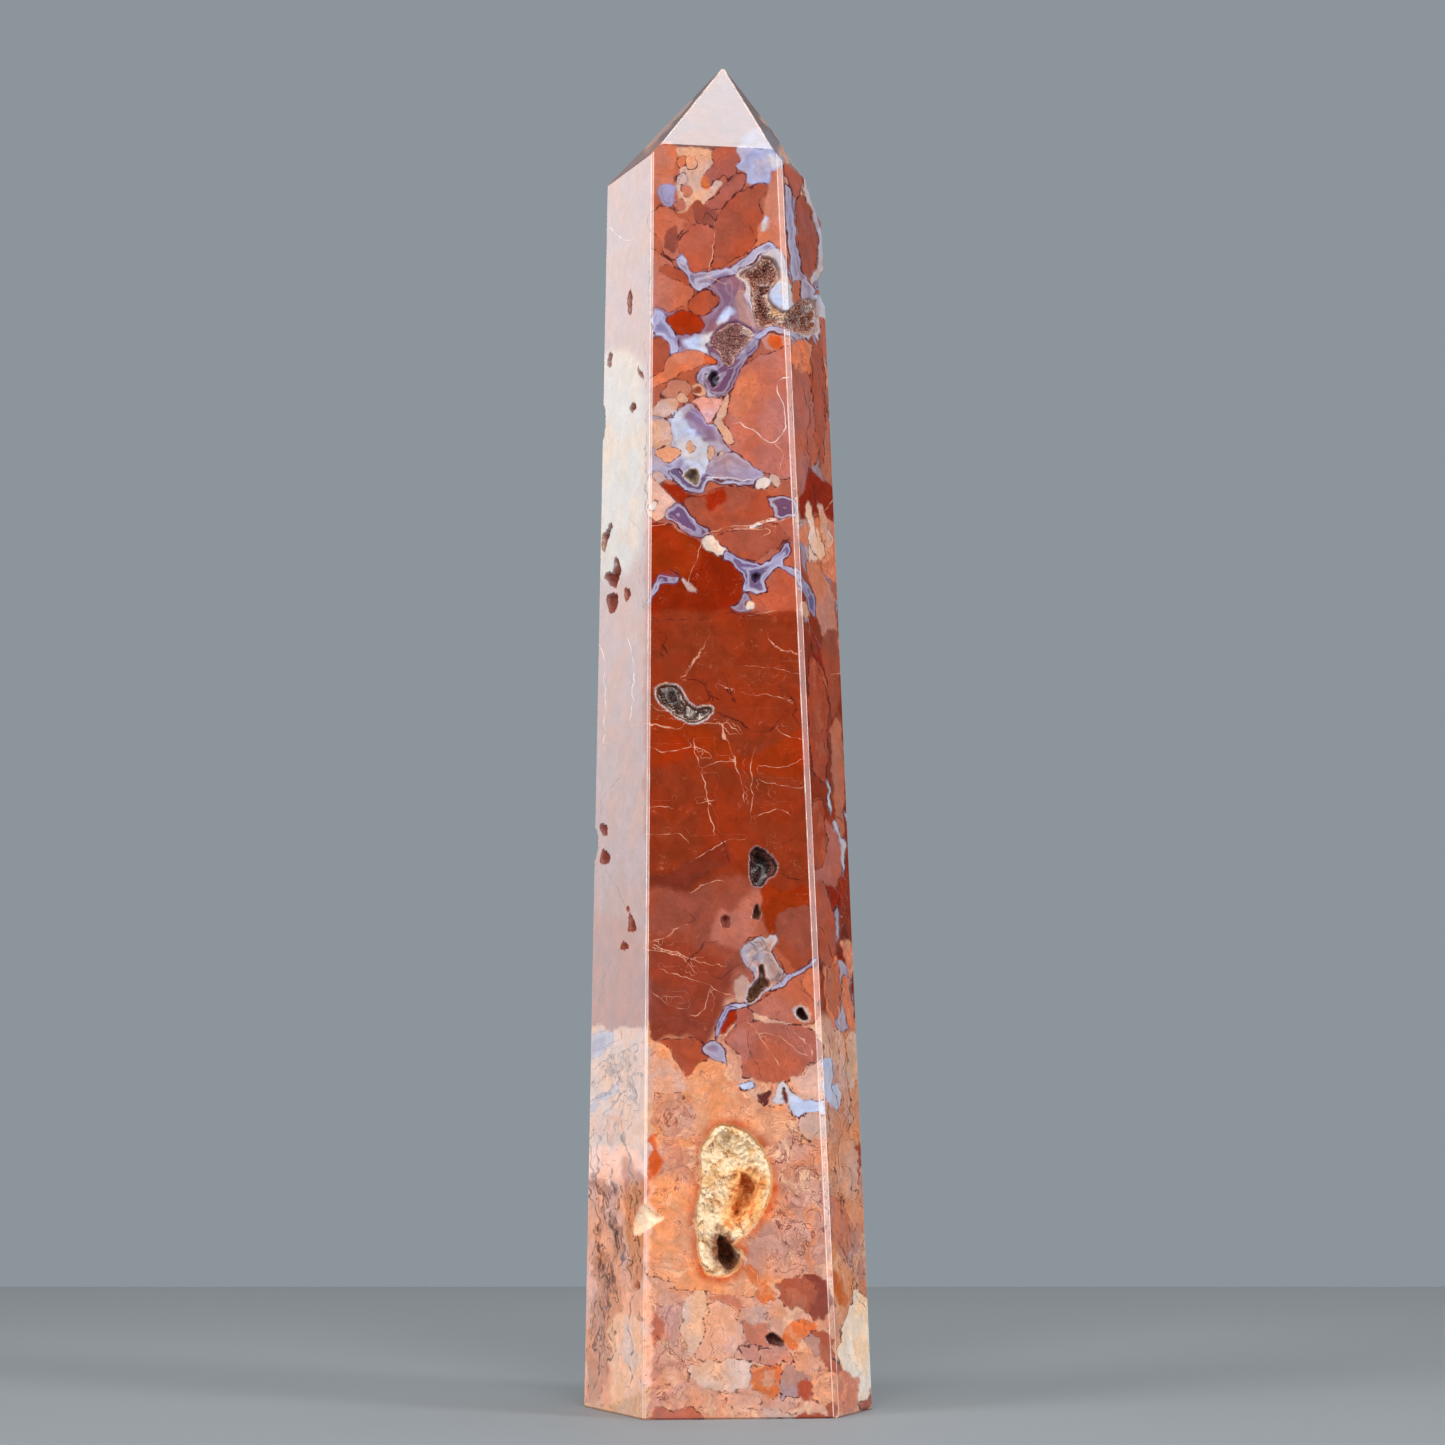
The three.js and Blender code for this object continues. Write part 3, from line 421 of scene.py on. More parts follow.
# Patches of stone, laid over each other in this order: stone, strength of the dark seam round it,
# softness of its border in pixels, for banded stone how clear the bands are, and then the outline
patchRows = {
    "ground of the foot": """
mauvePale 0 14: 560,1070 890,1058 890,1571 560,1571
""",
    "crown": """
pinkCream 0 2: 700,50 745,50 830,190 785,195 776,152 655,150 620,165 588,190
crownMauve 0 1.5: 719,62 731,62 756,108 779,153 730,154 654,149 688,106
crownBlue 0 5: 750,132 764,130 779,152 752,153 742,147
""",
    "front, top": """
rust 0 3: 649,145 678,147 677,158 672,170 675,183 665,188 649,194
cream 0.25 2: 678,146 707,147 714,158 708,175 720,181 718,188 705,205 695,201 682,213 675,208 678,196
 675,187 680,175 676,158
lavender 0.2 2.5 0.3: 659,187 670,185 676,189 674,195 676,203 668,206 663,202 660,195
brickDark 0.6 1.2: 713,148 737,149 736,161 734,175 727,179 722,175 708,187 701,186 705,173 713,164
orange 0 3: 701,179 707,177 710,185 705,190 701,187
paleBlue 0.3 2.2 0.15: 738,148 770,149 784,160 782,170 773,171 771,186 762,189 748,185 745,175 735,166
 739,158
whiteBlue 0 3: 767,154 775,156 780,162 775,168 770,164
brickDark 0.9 1.1: 705,205 716,196 722,186 737,173 747,178 743,188 733,196 722,209 712,211
maroon 0.5 1.5: 695,202 712,211 717,221 708,226 695,221 691,209
brick 0.9 1.1: 713,226 720,213 737,194 750,188 769,187 762,200 760,209 762,219 756,230 753,242 749,251
 741,255 720,269 712,268 714,250 713,236
orangeSoft 0.2 2.5: 769,187 780,166 785,192 791,257 779,253 768,242 756,245 755,230 762,219 765,205
whiteBlue 0 2.5: 759,226 765,217 768,221 759,233
orangeBrick 0.8 1.2: 679,242 695,223 712,227 713,236 712,250 710,264 707,270 690,274 686,257 679,251
salmonRed 0.7 1.2: 649,215 659,206 672,207 678,217 687,223 678,240 680,253 674,259 665,253 659,238 649,230
maroon 0.5 1.2: 665,236 675,227 678,242 675,251 667,247
purpleGrey 0.2 2.5 0.2: 686,272 695,274 712,272 737,269 747,285 746,297 756,322 760,329 750,346 739,356
 720,356 678,358 668,343 649,335 649,310 678,310 707,314 717,303 716,293 695,290
salmonRed 0.75 1.2: 649,255 663,253 678,268 691,282 695,291 687,303 670,310 655,308 649,306
brick 0.5 1.2: 661,272 669,264 685,272 689,285 678,282
lavender 1 1.1 0.9: 675,259 682,254 687,260 690,273 695,275 708,272 720,271 735,264 750,253 767,242 777,250
 784,259 790,276 783,270 775,257 763,254 750,267 737,274 722,279 712,287 697,291 690,282 684,272
brickOrange 1 1.1: 686,301 695,294 706,290 715,294 717,303 712,311 701,314 690,310
redPebble 1 1.1: 666,320 672,313 685,310 697,314 702,322 699,331 686,334 672,332
lavender 0.8 1.5 0.8: 653,314 665,314 666,326 674,335 678,347 675,360 668,356 667,343 655,335
whiteBlue 0 3.5 0.3: 682,340 703,334 717,330 716,341 706,352 689,350
whiteBlue 0 3 0.2: 720,316 729,307 735,311 727,320 716,325
tanPlume 0.2 2.5 0.2: 736,295 744,290 750,306 756,322 750,339 741,325 737,312
whiteStone 0.6 1.5 0.5: 763,254 777,250 784,259 789,276 792,288 792,308 802,320 814,320 813,333 805,344
 794,334 779,326 762,328 756,322 750,307 745,297 746,284 737,278 741,270 754,265
lavender 0.9 1.2 0.8: 757,333 770,327 788,329 798,335 809,339 804,346 798,340 788,335 771,333 762,339
 750,351 743,364 739,370 736,365 743,351 753,339
orangeSoft 0.5 1.5 0.2: 762,339 771,334 781,335 789,337 789,349 773,349 765,347
orangeDeep 0 2: 767,340 773,336 780,338 779,345 771,346
rust 0.8 1.1: 676,158 684,155 686,163 681,168 676,166
tan 0.8 1.1: 677,175 685,173 687,181 682,185 676,182
rust 0.8 1.1: 682,187 689,186 691,193 686,197 682,194
brickPink 0.8 1.1: 675,202 682,200 685,207 680,211 675,208
orangeTan 0.7 1.1: 685,158 695,156 697,166 691,171 686,166
whiteBlue 0.3 2 0.2: 771,284 780,280 790,284 796,296 797,306 789,311 778,306 770,296
""",
    "front, upper middle": """
brick 0.6 1.2: 648,340 666,340 670,353 666,366 653,378 648,380
orangeFan 0.6 1.2: 665,361 672,354 686,352 705,353 708,359 695,369 678,376 655,389 648,392 648,381 663,370
orangeDeep 0.3 1.5: 704,355 712,355 718,359 714,363 705,361
purpleDark 0.9 1.2 0.6: 707,344 720,344 739,353 744,348 749,340 762,340 756,348 747,359 745,369 735,385
 730,393 720,396 707,395 701,387 695,380 699,372 707,365 717,361 712,355
lavender 0.7 1.5 0.8: 697,376 705,365 715,364 717,369 707,372 703,382 712,393 722,395 716,398 705,395
 699,385
orangeBrick 0.6 1.2: 749,361 762,353 765,363 758,369 750,372
tanMauve 0.7 1.2: 665,387 669,381 678,379 689,383 687,395 678,404 666,401 660,395
tan 0.6 1.2: 649,409 661,399 674,399 678,406 674,412 665,416 649,423
tan 0.6 1.2: 678,393 686,395 688,401 681,404 675,401
cream 0.8 1.2: 690,387 697,382 704,390 704,395 695,397
maroon 0.6 1.2: 692,389 697,386 699,391 695,393
pink 0.8 1.1: 691,400 708,396 721,398 716,412 708,422 701,412
brickPink 0.7 1.2: 735,385 750,361 768,353 791,352 795,471 771,475 756,467 741,456 727,448 724,431 730,410
orangeSoft 0.2 3.5: 731,409 735,387 750,372 756,386 749,409 739,420
pinkBrick 0.2 2.5: 737,424 744,425 758,433 771,444 784,433 787,445 789,473 771,475 756,467 741,454
cream 0.8 1.2: 722,399 730,394 729,412 722,420 729,430 735,441 729,445 720,435 714,422 718,409
lavenderGrey 0.8 1.3 0.5: 648,418 666,417 678,412 687,403 695,409 706,422 716,425 727,446 741,457 756,468
 763,475 752,486 725,479 708,481 704,492 687,494 680,486 666,479 648,475
lavenderDeep 0.2 2.2 0.4: 686,411 697,409 708,424 716,428 725,445 712,439 704,441 695,433 685,424
whiteBlue 0 3.5 0.3: 670,416 678,412 687,425 695,433 707,443 710,454 706,471 695,475 685,464 678,449
 674,433
tan 0.4 2.5: 648,422 666,418 672,433 669,445 659,449 648,443
orangeTan 0.7 1.3: 656,452 666,446 678,447 680,454 672,461 661,460
cream 0.5 1.3: 686,444 692,441 695,447 690,452 686,449
cream 0.5 1.3: 707,449 713,449 712,460 707,462
white 1 1.1: 717,454 723,452 725,457 721,461 718,458
lavenderPale 0.5 1.8 0.3: 714,459 729,452 741,457 756,468 762,475 749,484 720,477 706,479 707,466
blueRim 0.9 1.2 0.9: 668,471 678,468 685,481 697,485 706,475 716,479 752,481 753,486 725,483 709,482
 704,492 686,494 679,486 672,479
tan 0.6 1.2: 652,475 661,472 665,479 655,484
redDeep 0.6 1.2: 660,484 680,487 687,496 705,495 716,487 725,488 724,500 707,508 690,506 678,502
brick 0.6 1.2: 685,502 705,496 716,487 750,488 769,496 775,515 767,519 739,526 708,532 695,517
redDeep 0.1 3: 707,496 722,487 726,496 716,508 708,508
pinkCream 0.8 1.2: 648,477 659,485 676,502 674,509 664,519 648,517
white 0.9 1.2: 650,502 655,500 658,505 655,511 650,509
white 0.9 1.2: 753,484 762,478 771,483 767,489 756,489
cream 0.6 1.2: 768,477 775,475 781,481 777,488 771,484
purpleDark 0.9 1.2 0.7: 767,498 794,500 797,517 777,517 774,509
purpleDark 1 1.1 0.8: 675,505 684,506 695,519 708,532 706,538 695,536 678,526 664,518
jasper 0.5 1.5: 648,527 682,532 699,540 725,557 741,570 744,593 737,606 728,614 648,614
brick 0.7 1.2: 712,536 741,530 779,524 789,538 771,550 758,561 739,557 727,549
orangeBrick 0.4 1.5: 779,521 794,519 796,542 787,536
white 1 1.1: 701,539 708,535 720,542 727,548 727,555 716,553 705,549
orangeBrick 0.4 1.6: 766,591 779,570 794,578 798,614 770,616 749,614 750,597
lavenderVein 1 1.1 1: 727,550 739,557 754,563 767,563 779,548 789,542 789,553 784,564 796,570 796,578
 779,569 765,582 767,591 750,593 742,594 744,578 741,570 729,561 723,557
purpleDark 0.9 1.2 0.4: 742,593 750,597 747,616 731,610 737,601
white 0.7 1.3: 746,599 753,603 751,609 744,608
purpleDark 0.9 1.2 0.8: 659,576 670,569 678,578 674,585 661,587 648,602 648,596
tan 0.4 1.5: 680,579 687,580 697,593 686,589
""",
    "front, red middle": """
jasperBrown 0 4: 648,615 724,616 745,625 762,618 799,614 810,677 645,677
jasperBrown 0 4: 645,640 810,640 816,888 645,888
jasperOrange 0 9: 648,529 686,534 703,555 686,574 648,572
jasperBrown 0 9: 686,611 749,616 800,614 804,670 800,670 686,670 678,641
jasperBrown 0 9: 678,640 800,640 804,709 749,728 720,712 690,674
jasperOrange 0 9: 648,720 690,720 728,741 749,758 804,730 805,777 770,792 749,775 695,758 648,775
jasperBrown 0 9: 737,787 762,777 804,785 808,842 770,850 749,836
jasperBrown 0 8: 657,766 728,775 741,800 707,821 650,825
maroonBrown 0.2 6: 648,878 669,872 695,858 724,840 728,863 707,876 686,890 665,893 648,884
pinkishRed 0 8: 648,890 686,893 720,878 749,878 758,893 749,930 743,956 741,970 648,970
salmonRed 0 5: 712,933 720,911 733,911 749,893 760,890 762,914 749,943 741,951 716,943
jasperOrange 0.3 3: 762,888 787,890 804,886 811,905 783,911 777,935 768,933
pinkishRed 0.3 3: 777,916 789,909 813,907 816,958 798,970 783,956 777,943
maroonRed 0.1 8: 647,944 678,942 707,953 733,969 728,995 716,1024 705,1045 686,1037 647,1033
salmonRed 0.4 2.5: 733,982 743,974 749,980 745,993 735,999
salmonRed 0.6 1.5: 760,1001 781,989 794,976 815,964 818,1016 802,1025 771,1018 749,1008
rust 0.7 1.5: 794,976 804,972 802,982 810,995 818,1003 818,963
quartzGrey 0.9 1.2 0.5: 743,948 750,940 760,936 768,938 776,934 777,942 773,952 776,962 783,972 788,977
 780,985 770,991 762,991 756,996 749,1003 745,1001 752,985 753,972 747,965 743,957
creamGrey 0.2 2: 734,986 744,974 750,984 747,1000 737,1003
lavenderVein 0.9 1.2 0.8: 784,976 802,966 816,959 816,964 800,972 784,987 771,991
brickDark 0.7 1.3: 737,1012 750,1009 754,1018 760,1021 749,1027 735,1025
redDeep 0.8 1.2: 722,1025 728,1014 737,1012 733,1023 722,1033
lavenderVein 1 1.1 1: 715,1025 720,1014 735,1003 750,1005 743,1009 729,1014 722,1025 717,1039 715,1033
leafRed 0.6 1.3: 726,1037 739,1024 750,1020 781,1025 809,1028 821,1045 819,1060 802,1071 781,1084 760,1079
 745,1075 741,1058 733,1050
brickPink 0.2 3: 728,1039 739,1030 747,1039 749,1058 743,1066 739,1054
brick 0.7 1.3: 655,1038 669,1041 695,1037 705,1046 708,1058 691,1073 684,1075 674,1060
lavender 1 1.2 0.6: 702,1046 716,1039 727,1052 729,1066 724,1062 709,1057
""",
    "front, peach foot": """
peach 0.6 1.3: 645,1038 655,1041 664,1044 670,1052 685,1075 695,1066 708,1060 725,1062 729,1073 739,1081
 760,1105 781,1109 798,1121 826,1119 830,1270 645,1270
pinkCream 0.4 3.5: 649,1058 659,1055 678,1070 686,1087 678,1092 659,1092 650,1085
pinkMauve 0.5 3: 650,1105 659,1094 676,1091 689,1108 695,1130 685,1142 669,1138 655,1124
mauve 0.1 5: 659,1150 678,1146 697,1155 699,1188 678,1176 659,1174
orangeDeep 0.1 5: 643,1133 657,1135 661,1148 662,1161 657,1174 643,1177
pinkCream 0.4 1.5: 789,1079 809,1070 822,1060 823,1096 809,1097 794,1088
whiteBlue 1 1.2 0.3: 774,1096 781,1085 790,1088 798,1097 817,1098 822,1098 822,1112 815,1113 802,1115
 798,1121 789,1111 787,1105 779,1105
maroonEye 0.9 1.2: 781,1096 784,1091 789,1096 789,1104 786,1105
whiteBlue 1 1.1 0.3: 740,1084 749,1081 756,1085 752,1090 743,1088
maroonEye 1 1.1: 757,1094 768,1092 769,1102 762,1105
cream 0.6 1.4: 798,1123 804,1116 815,1115 825,1119 826,1136 813,1142 802,1134
mauve 0.2 6: 775,1147 796,1129 802,1142 826,1146 830,1270 745,1270 750,1241 771,1214 775,1172
pinkMauve 0.5 2: 779,1172 802,1167 821,1176 819,1205 796,1199 781,1188
mauveDark 0.4 3: 645,1308 669,1306 686,1301 685,1331 678,1352 687,1362 687,1383 669,1400 645,1404
salmonRed 0.3 2.5: 646,1312 659,1310 667,1322 663,1343 648,1343
pinkMauve 0.3 3: 661,1352 678,1347 690,1362 684,1383 665,1385
creamPink 0.5 1.5: 684,1299 695,1286 708,1299 705,1320 695,1352 687,1358 682,1331
pinkCream 0.6 1.3: 695,1358 708,1320 708,1304 716,1301 729,1306 739,1322 741,1335 735,1350 720,1358
 712,1356
orangeSoft 0.2 2: 711,1298 729,1292 739,1299 739,1310 729,1304 716,1300
orange 0.2 2: 741,1265 754,1267 762,1278 773,1289 773,1299 762,1297 753,1282
creamGrey 0.5 1.6: 739,1309 745,1306 762,1305 767,1314 756,1322 743,1324
rust 0.4 3: 743,1322 762,1322 770,1333 766,1347 745,1343
maroonPebble 0.6 1.5: 777,1286 802,1275 819,1280 830,1295 830,1314 817,1320 802,1306 783,1304
maroonRed 0.4 4: 804,1277 813,1277 830,1293 830,1316 817,1320 808,1306 817,1295
orange 0.4 1.6: 783,1331 796,1316 815,1322 820,1331 807,1341 792,1350
maroonPebble 0.8 1.3: 815,1333 832,1333 836,1352 845,1373 836,1375 823,1356 821,1346
greyMauve 0.5 1.3: 809,1341 818,1338 822,1354 815,1354
mauvePebble 0.7 1.3: 736,1347 750,1344 760,1349 758,1360 743,1356
mauvePebble 0.7 1.3: 760,1352 770,1348 784,1348 792,1364 779,1367 762,1362
creamPink 0.6 1.4: 688,1373 704,1362 729,1358 749,1362 747,1386 729,1392 708,1390 693,1383
orange 0.6 1.4: 749,1367 767,1364 781,1375 777,1394 758,1392
peach 0.4 1.6: 760,1370 770,1369 775,1379 768,1385 761,1381
greyMauve 0.7 1.3: 783,1373 796,1368 807,1383 802,1396 783,1394
darkRed 0.5 1.5: 798,1387 808,1384 810,1396 802,1400
peach 0.5 1.4: 808,1373 834,1370 845,1383 836,1400 813,1398
pinkMauve 0.4 2: 674,1394 695,1385 720,1394 728,1404 707,1415 678,1410
salmonRed 0.8 1.2: 654,1414 669,1405 686,1411 696,1411 700,1420 653,1420
peachPink 0.5 1.4: 726,1396 741,1394 758,1400 756,1410 735,1415
cream 0.5 1.4: 762,1407 787,1408 794,1415 762,1417
maroonPebble 0.8 1.2: 827,1403 838,1399 841,1413 831,1416
darkRed 0.7 1.3: 794,1415 826,1413 834,1423 792,1423
""",
    "right face": """
rustRed 1 1.2: 784,165 796,166 801,179 800,196 792,196 786,179
lavenderStrip 0.8 1.4 0.8: 784,184 794,207 798,251 811,282 815,299 802,312 794,287 788,251 784,209
brickDark 1 1.2: 796,200 804,197 813,219 818,240 818,257 810,277 800,259 797,230
whiteStone 0.5 1.4 0.6: 790,160 794,159 805,177 816,206 822,229 826,255 821,272 813,285 812,276 818,261
 819,247 814,219 804,194 801,178
rust 0.8 1.3: 792,285 800,282 802,312 796,312
whiteBlue 0.5 1.5 0.6: 812,301 823,298 830,335 821,341 813,331
brickPink 0.6 1.5: 820,320 826,323 828,356 821,354
orangeStreak 0.3 2: 792,342 807,340 821,353 830,378 821,393 805,378 792,361
redPink 0.5 2: 792,389 805,383 813,425 809,446 796,435
rust 0.6 1.5: 813,393 823,397 831,424 834,487 823,475 817,441
redDeep 0.5 2: 798,467 809,471 834,488 836,519 802,519
blueRim 1 1.2 0.5: 809,443 816,456 814,467 809,458
orangeStreak 0.3 2: 802,526 834,521 839,582 830,578 813,551 800,542
creamLeft 0.4 1.5: 811,542 817,529 821,542 813,569 809,567
creamLeft 0.3 1.5: 823,529 828,525 831,542 826,550
lavenderVein 0.6 1.2 0.8: 796,569 802,574 811,591 818,617 810,612 802,591 795,578
lavender 0.3 1.5 0.3: 801,542 805,548 811,572 806,574 800,557
orangeStreak 0.6 1.5: 823,640 843,640 843,674 834,675 827,657
whiteBlue 0.9 1.2: 826,783 829,785 833,813 830,811
whiteBlue 0.9 1.2: 834,823 841,827 845,851 842,880 840,855
whiteBlue 0.9 1.2: 846,810 850,821 849,827 846,819
redDeep 0.4 2.5: 815,653 825,665 831,709 823,716 816,682
pinkBrick 0.3 3: 811,817 831,823 840,846 838,884 815,884
redDeep 0.3 3: 816,886 838,890 840,909 817,914
lavenderStrip 0.9 1.3 0.5: 834,914 838,907 840,930 835,943
orangeStreak 0.3 2: 823,953 840,965 848,1009 834,1028 826,1003
lavenderStrip 0.5 1.6 0.6: 836,963 846,965 855,993 854,1016 844,1033 834,1020 840,995
orangeStreak 0.4 2: 850,940 855,953 851,978 844,961 840,940
whiteBlue 0.6 1.3 0.5: 821,1062 831,1060 834,1083 843,1081 841,1100 834,1109 826,1096 821,1087
peach 0.3 2.5: 849,1028 860,1033 864,1142 855,1159 849,1121
pinkCream 0.5 2: 839,1033 849,1049 853,1121 844,1108 838,1058
mauvePale 0.4 3: 826,1104 838,1115 844,1150 840,1203 830,1184
darkRed 0.4 2: 844,1142 850,1148 854,1176 848,1172
darkRed 0.4 2: 855,1157 862,1144 864,1172 857,1182
peachPink 0.4 3: 834,1188 859,1182 866,1270 834,1270
pinkPale 0.5 1.8: 842,1222 848,1216 855,1239 850,1264 843,1245
peach 0.4 2: 827,1238 840,1250 854,1288 859,1309 844,1322 834,1305 827,1280
orange 0.2 4: 828,1267 840,1276 846,1305 834,1301
mauveDark 0.4 2: 853,1238 865,1229 871,1309 863,1307 855,1280
creamYellow 0.6 1.5: 842,1331 855,1295 870,1305 874,1383 863,1403 849,1379 842,1362
orangeStreak 0.3 3: 840,1373 855,1381 861,1402 840,1413
maroonPebble 0.7 1.3: 862,1403 872,1396 872,1408 863,1411
pinkBrick 0.6 1.5: 793,392 808,372 816,400 818,452 806,470 796,440
orangeBrick 0.6 1.5: 812,350 822,352 827,420 820,470 815,430
brickPink 0.4 2: 792,440 803,452 806,480 798,498 792,470
creamLeft 0.5 1.3: 806,508 812,505 815,530 824,548 819,562 810,540
pinkCream 0.4 1.3: 818,505 824,508 829,540 824,545
redPink 0.5 1.5: 806,562 820,566 832,590 836,640 828,652 816,610
brick 0.4 2: 822,640 836,632 840,690 833,720 826,690
darkRed 0.7 1.4: 808,660 822,668 829,720 826,780 814,770 808,710
rust 0.5 1.5: 832,730 842,722 846,790 842,840 834,800
darkRed 0.6 1.5: 812,800 824,806 826,850 816,872 811,840
orangeBrick 0.5 1.6: 816,880 832,900 836,940 828,968 818,950
rust 0.5 1.5: 826,972 836,968 842,1000 836,1020 828,1000
orangeStreak 0.5 1.5: 842,975 852,985 855,1030 846,1020
creamPink 0.5 1.6: 846,1040 858,1036 862,1075 852,1088
pinkCream 0.5 1.6: 836,1150 850,1140 862,1165 858,1200 844,1196
redPink 0.4 2: 832,1200 846,1206 852,1240 842,1262 832,1240
""",
    # The first four patches of the left face are painted reflection: the softbox mirrored on it as a veil,
    # paler higher up and darker lower down where it fades
    "left face": """
leftVeil 0 3: 580,360 649,360 646,540 644,760 642,1045 578,1045
leftDusk 0 14: 560,930 638,930 638,1060 560,1060
leftVeil 0 4: 608,183 650,158 648,370 603,370
leftPale 0 14: 581,378 641,365 640,550 581,563
paleSwirl 0.3 2: 587,1033 613,1032 621,1027 629,1028 640,1029 649,1039 649,1163 587,1163
greyBlue 0.2 2.5 0.5: 587,1034 598,1032 611,1032 613,1043 602,1054 592,1058 587,1056
greyBlue 0.2 3 0.6: 592,1108 608,1092 618,1083 615,1096 602,1106 589,1115
mauvePale 0.2 4: 602,1121 617,1115 623,1129 613,1146 602,1134
leftPeach 0.1 3: 582,1161 647,1161 646,1277 581,1277
leftPeach 0.1 3: 580,1255 646,1255 644,1423 579,1423
mauveDark 0.2 4: 589,1176 602,1174 613,1190 608,1199 596,1190
orangeSoft 0.1 6: 623,1163 647,1172 647,1203 627,1205
peachPink 0.4 4: 596,1262 606,1250 616,1276 622,1310 614,1350 602,1392 588,1400 590,1320
mauvePale 0.2 4: 610,1212 618,1222 623,1246 616,1262 609,1240
peach 0.1 5: 628,1180 642,1190 645,1262 634,1290 626,1240
creamLeft 0.2 4: 611,1322 629,1314 646,1322 644,1368 632,1400 615,1400 611,1362
peachPale 0.3 3: 584,1402 629,1400 646,1383 646,1420 584,1413
""",
}
patches = [mark for rows in patchRows.values() for mark in readRows(rows, makePatch)]

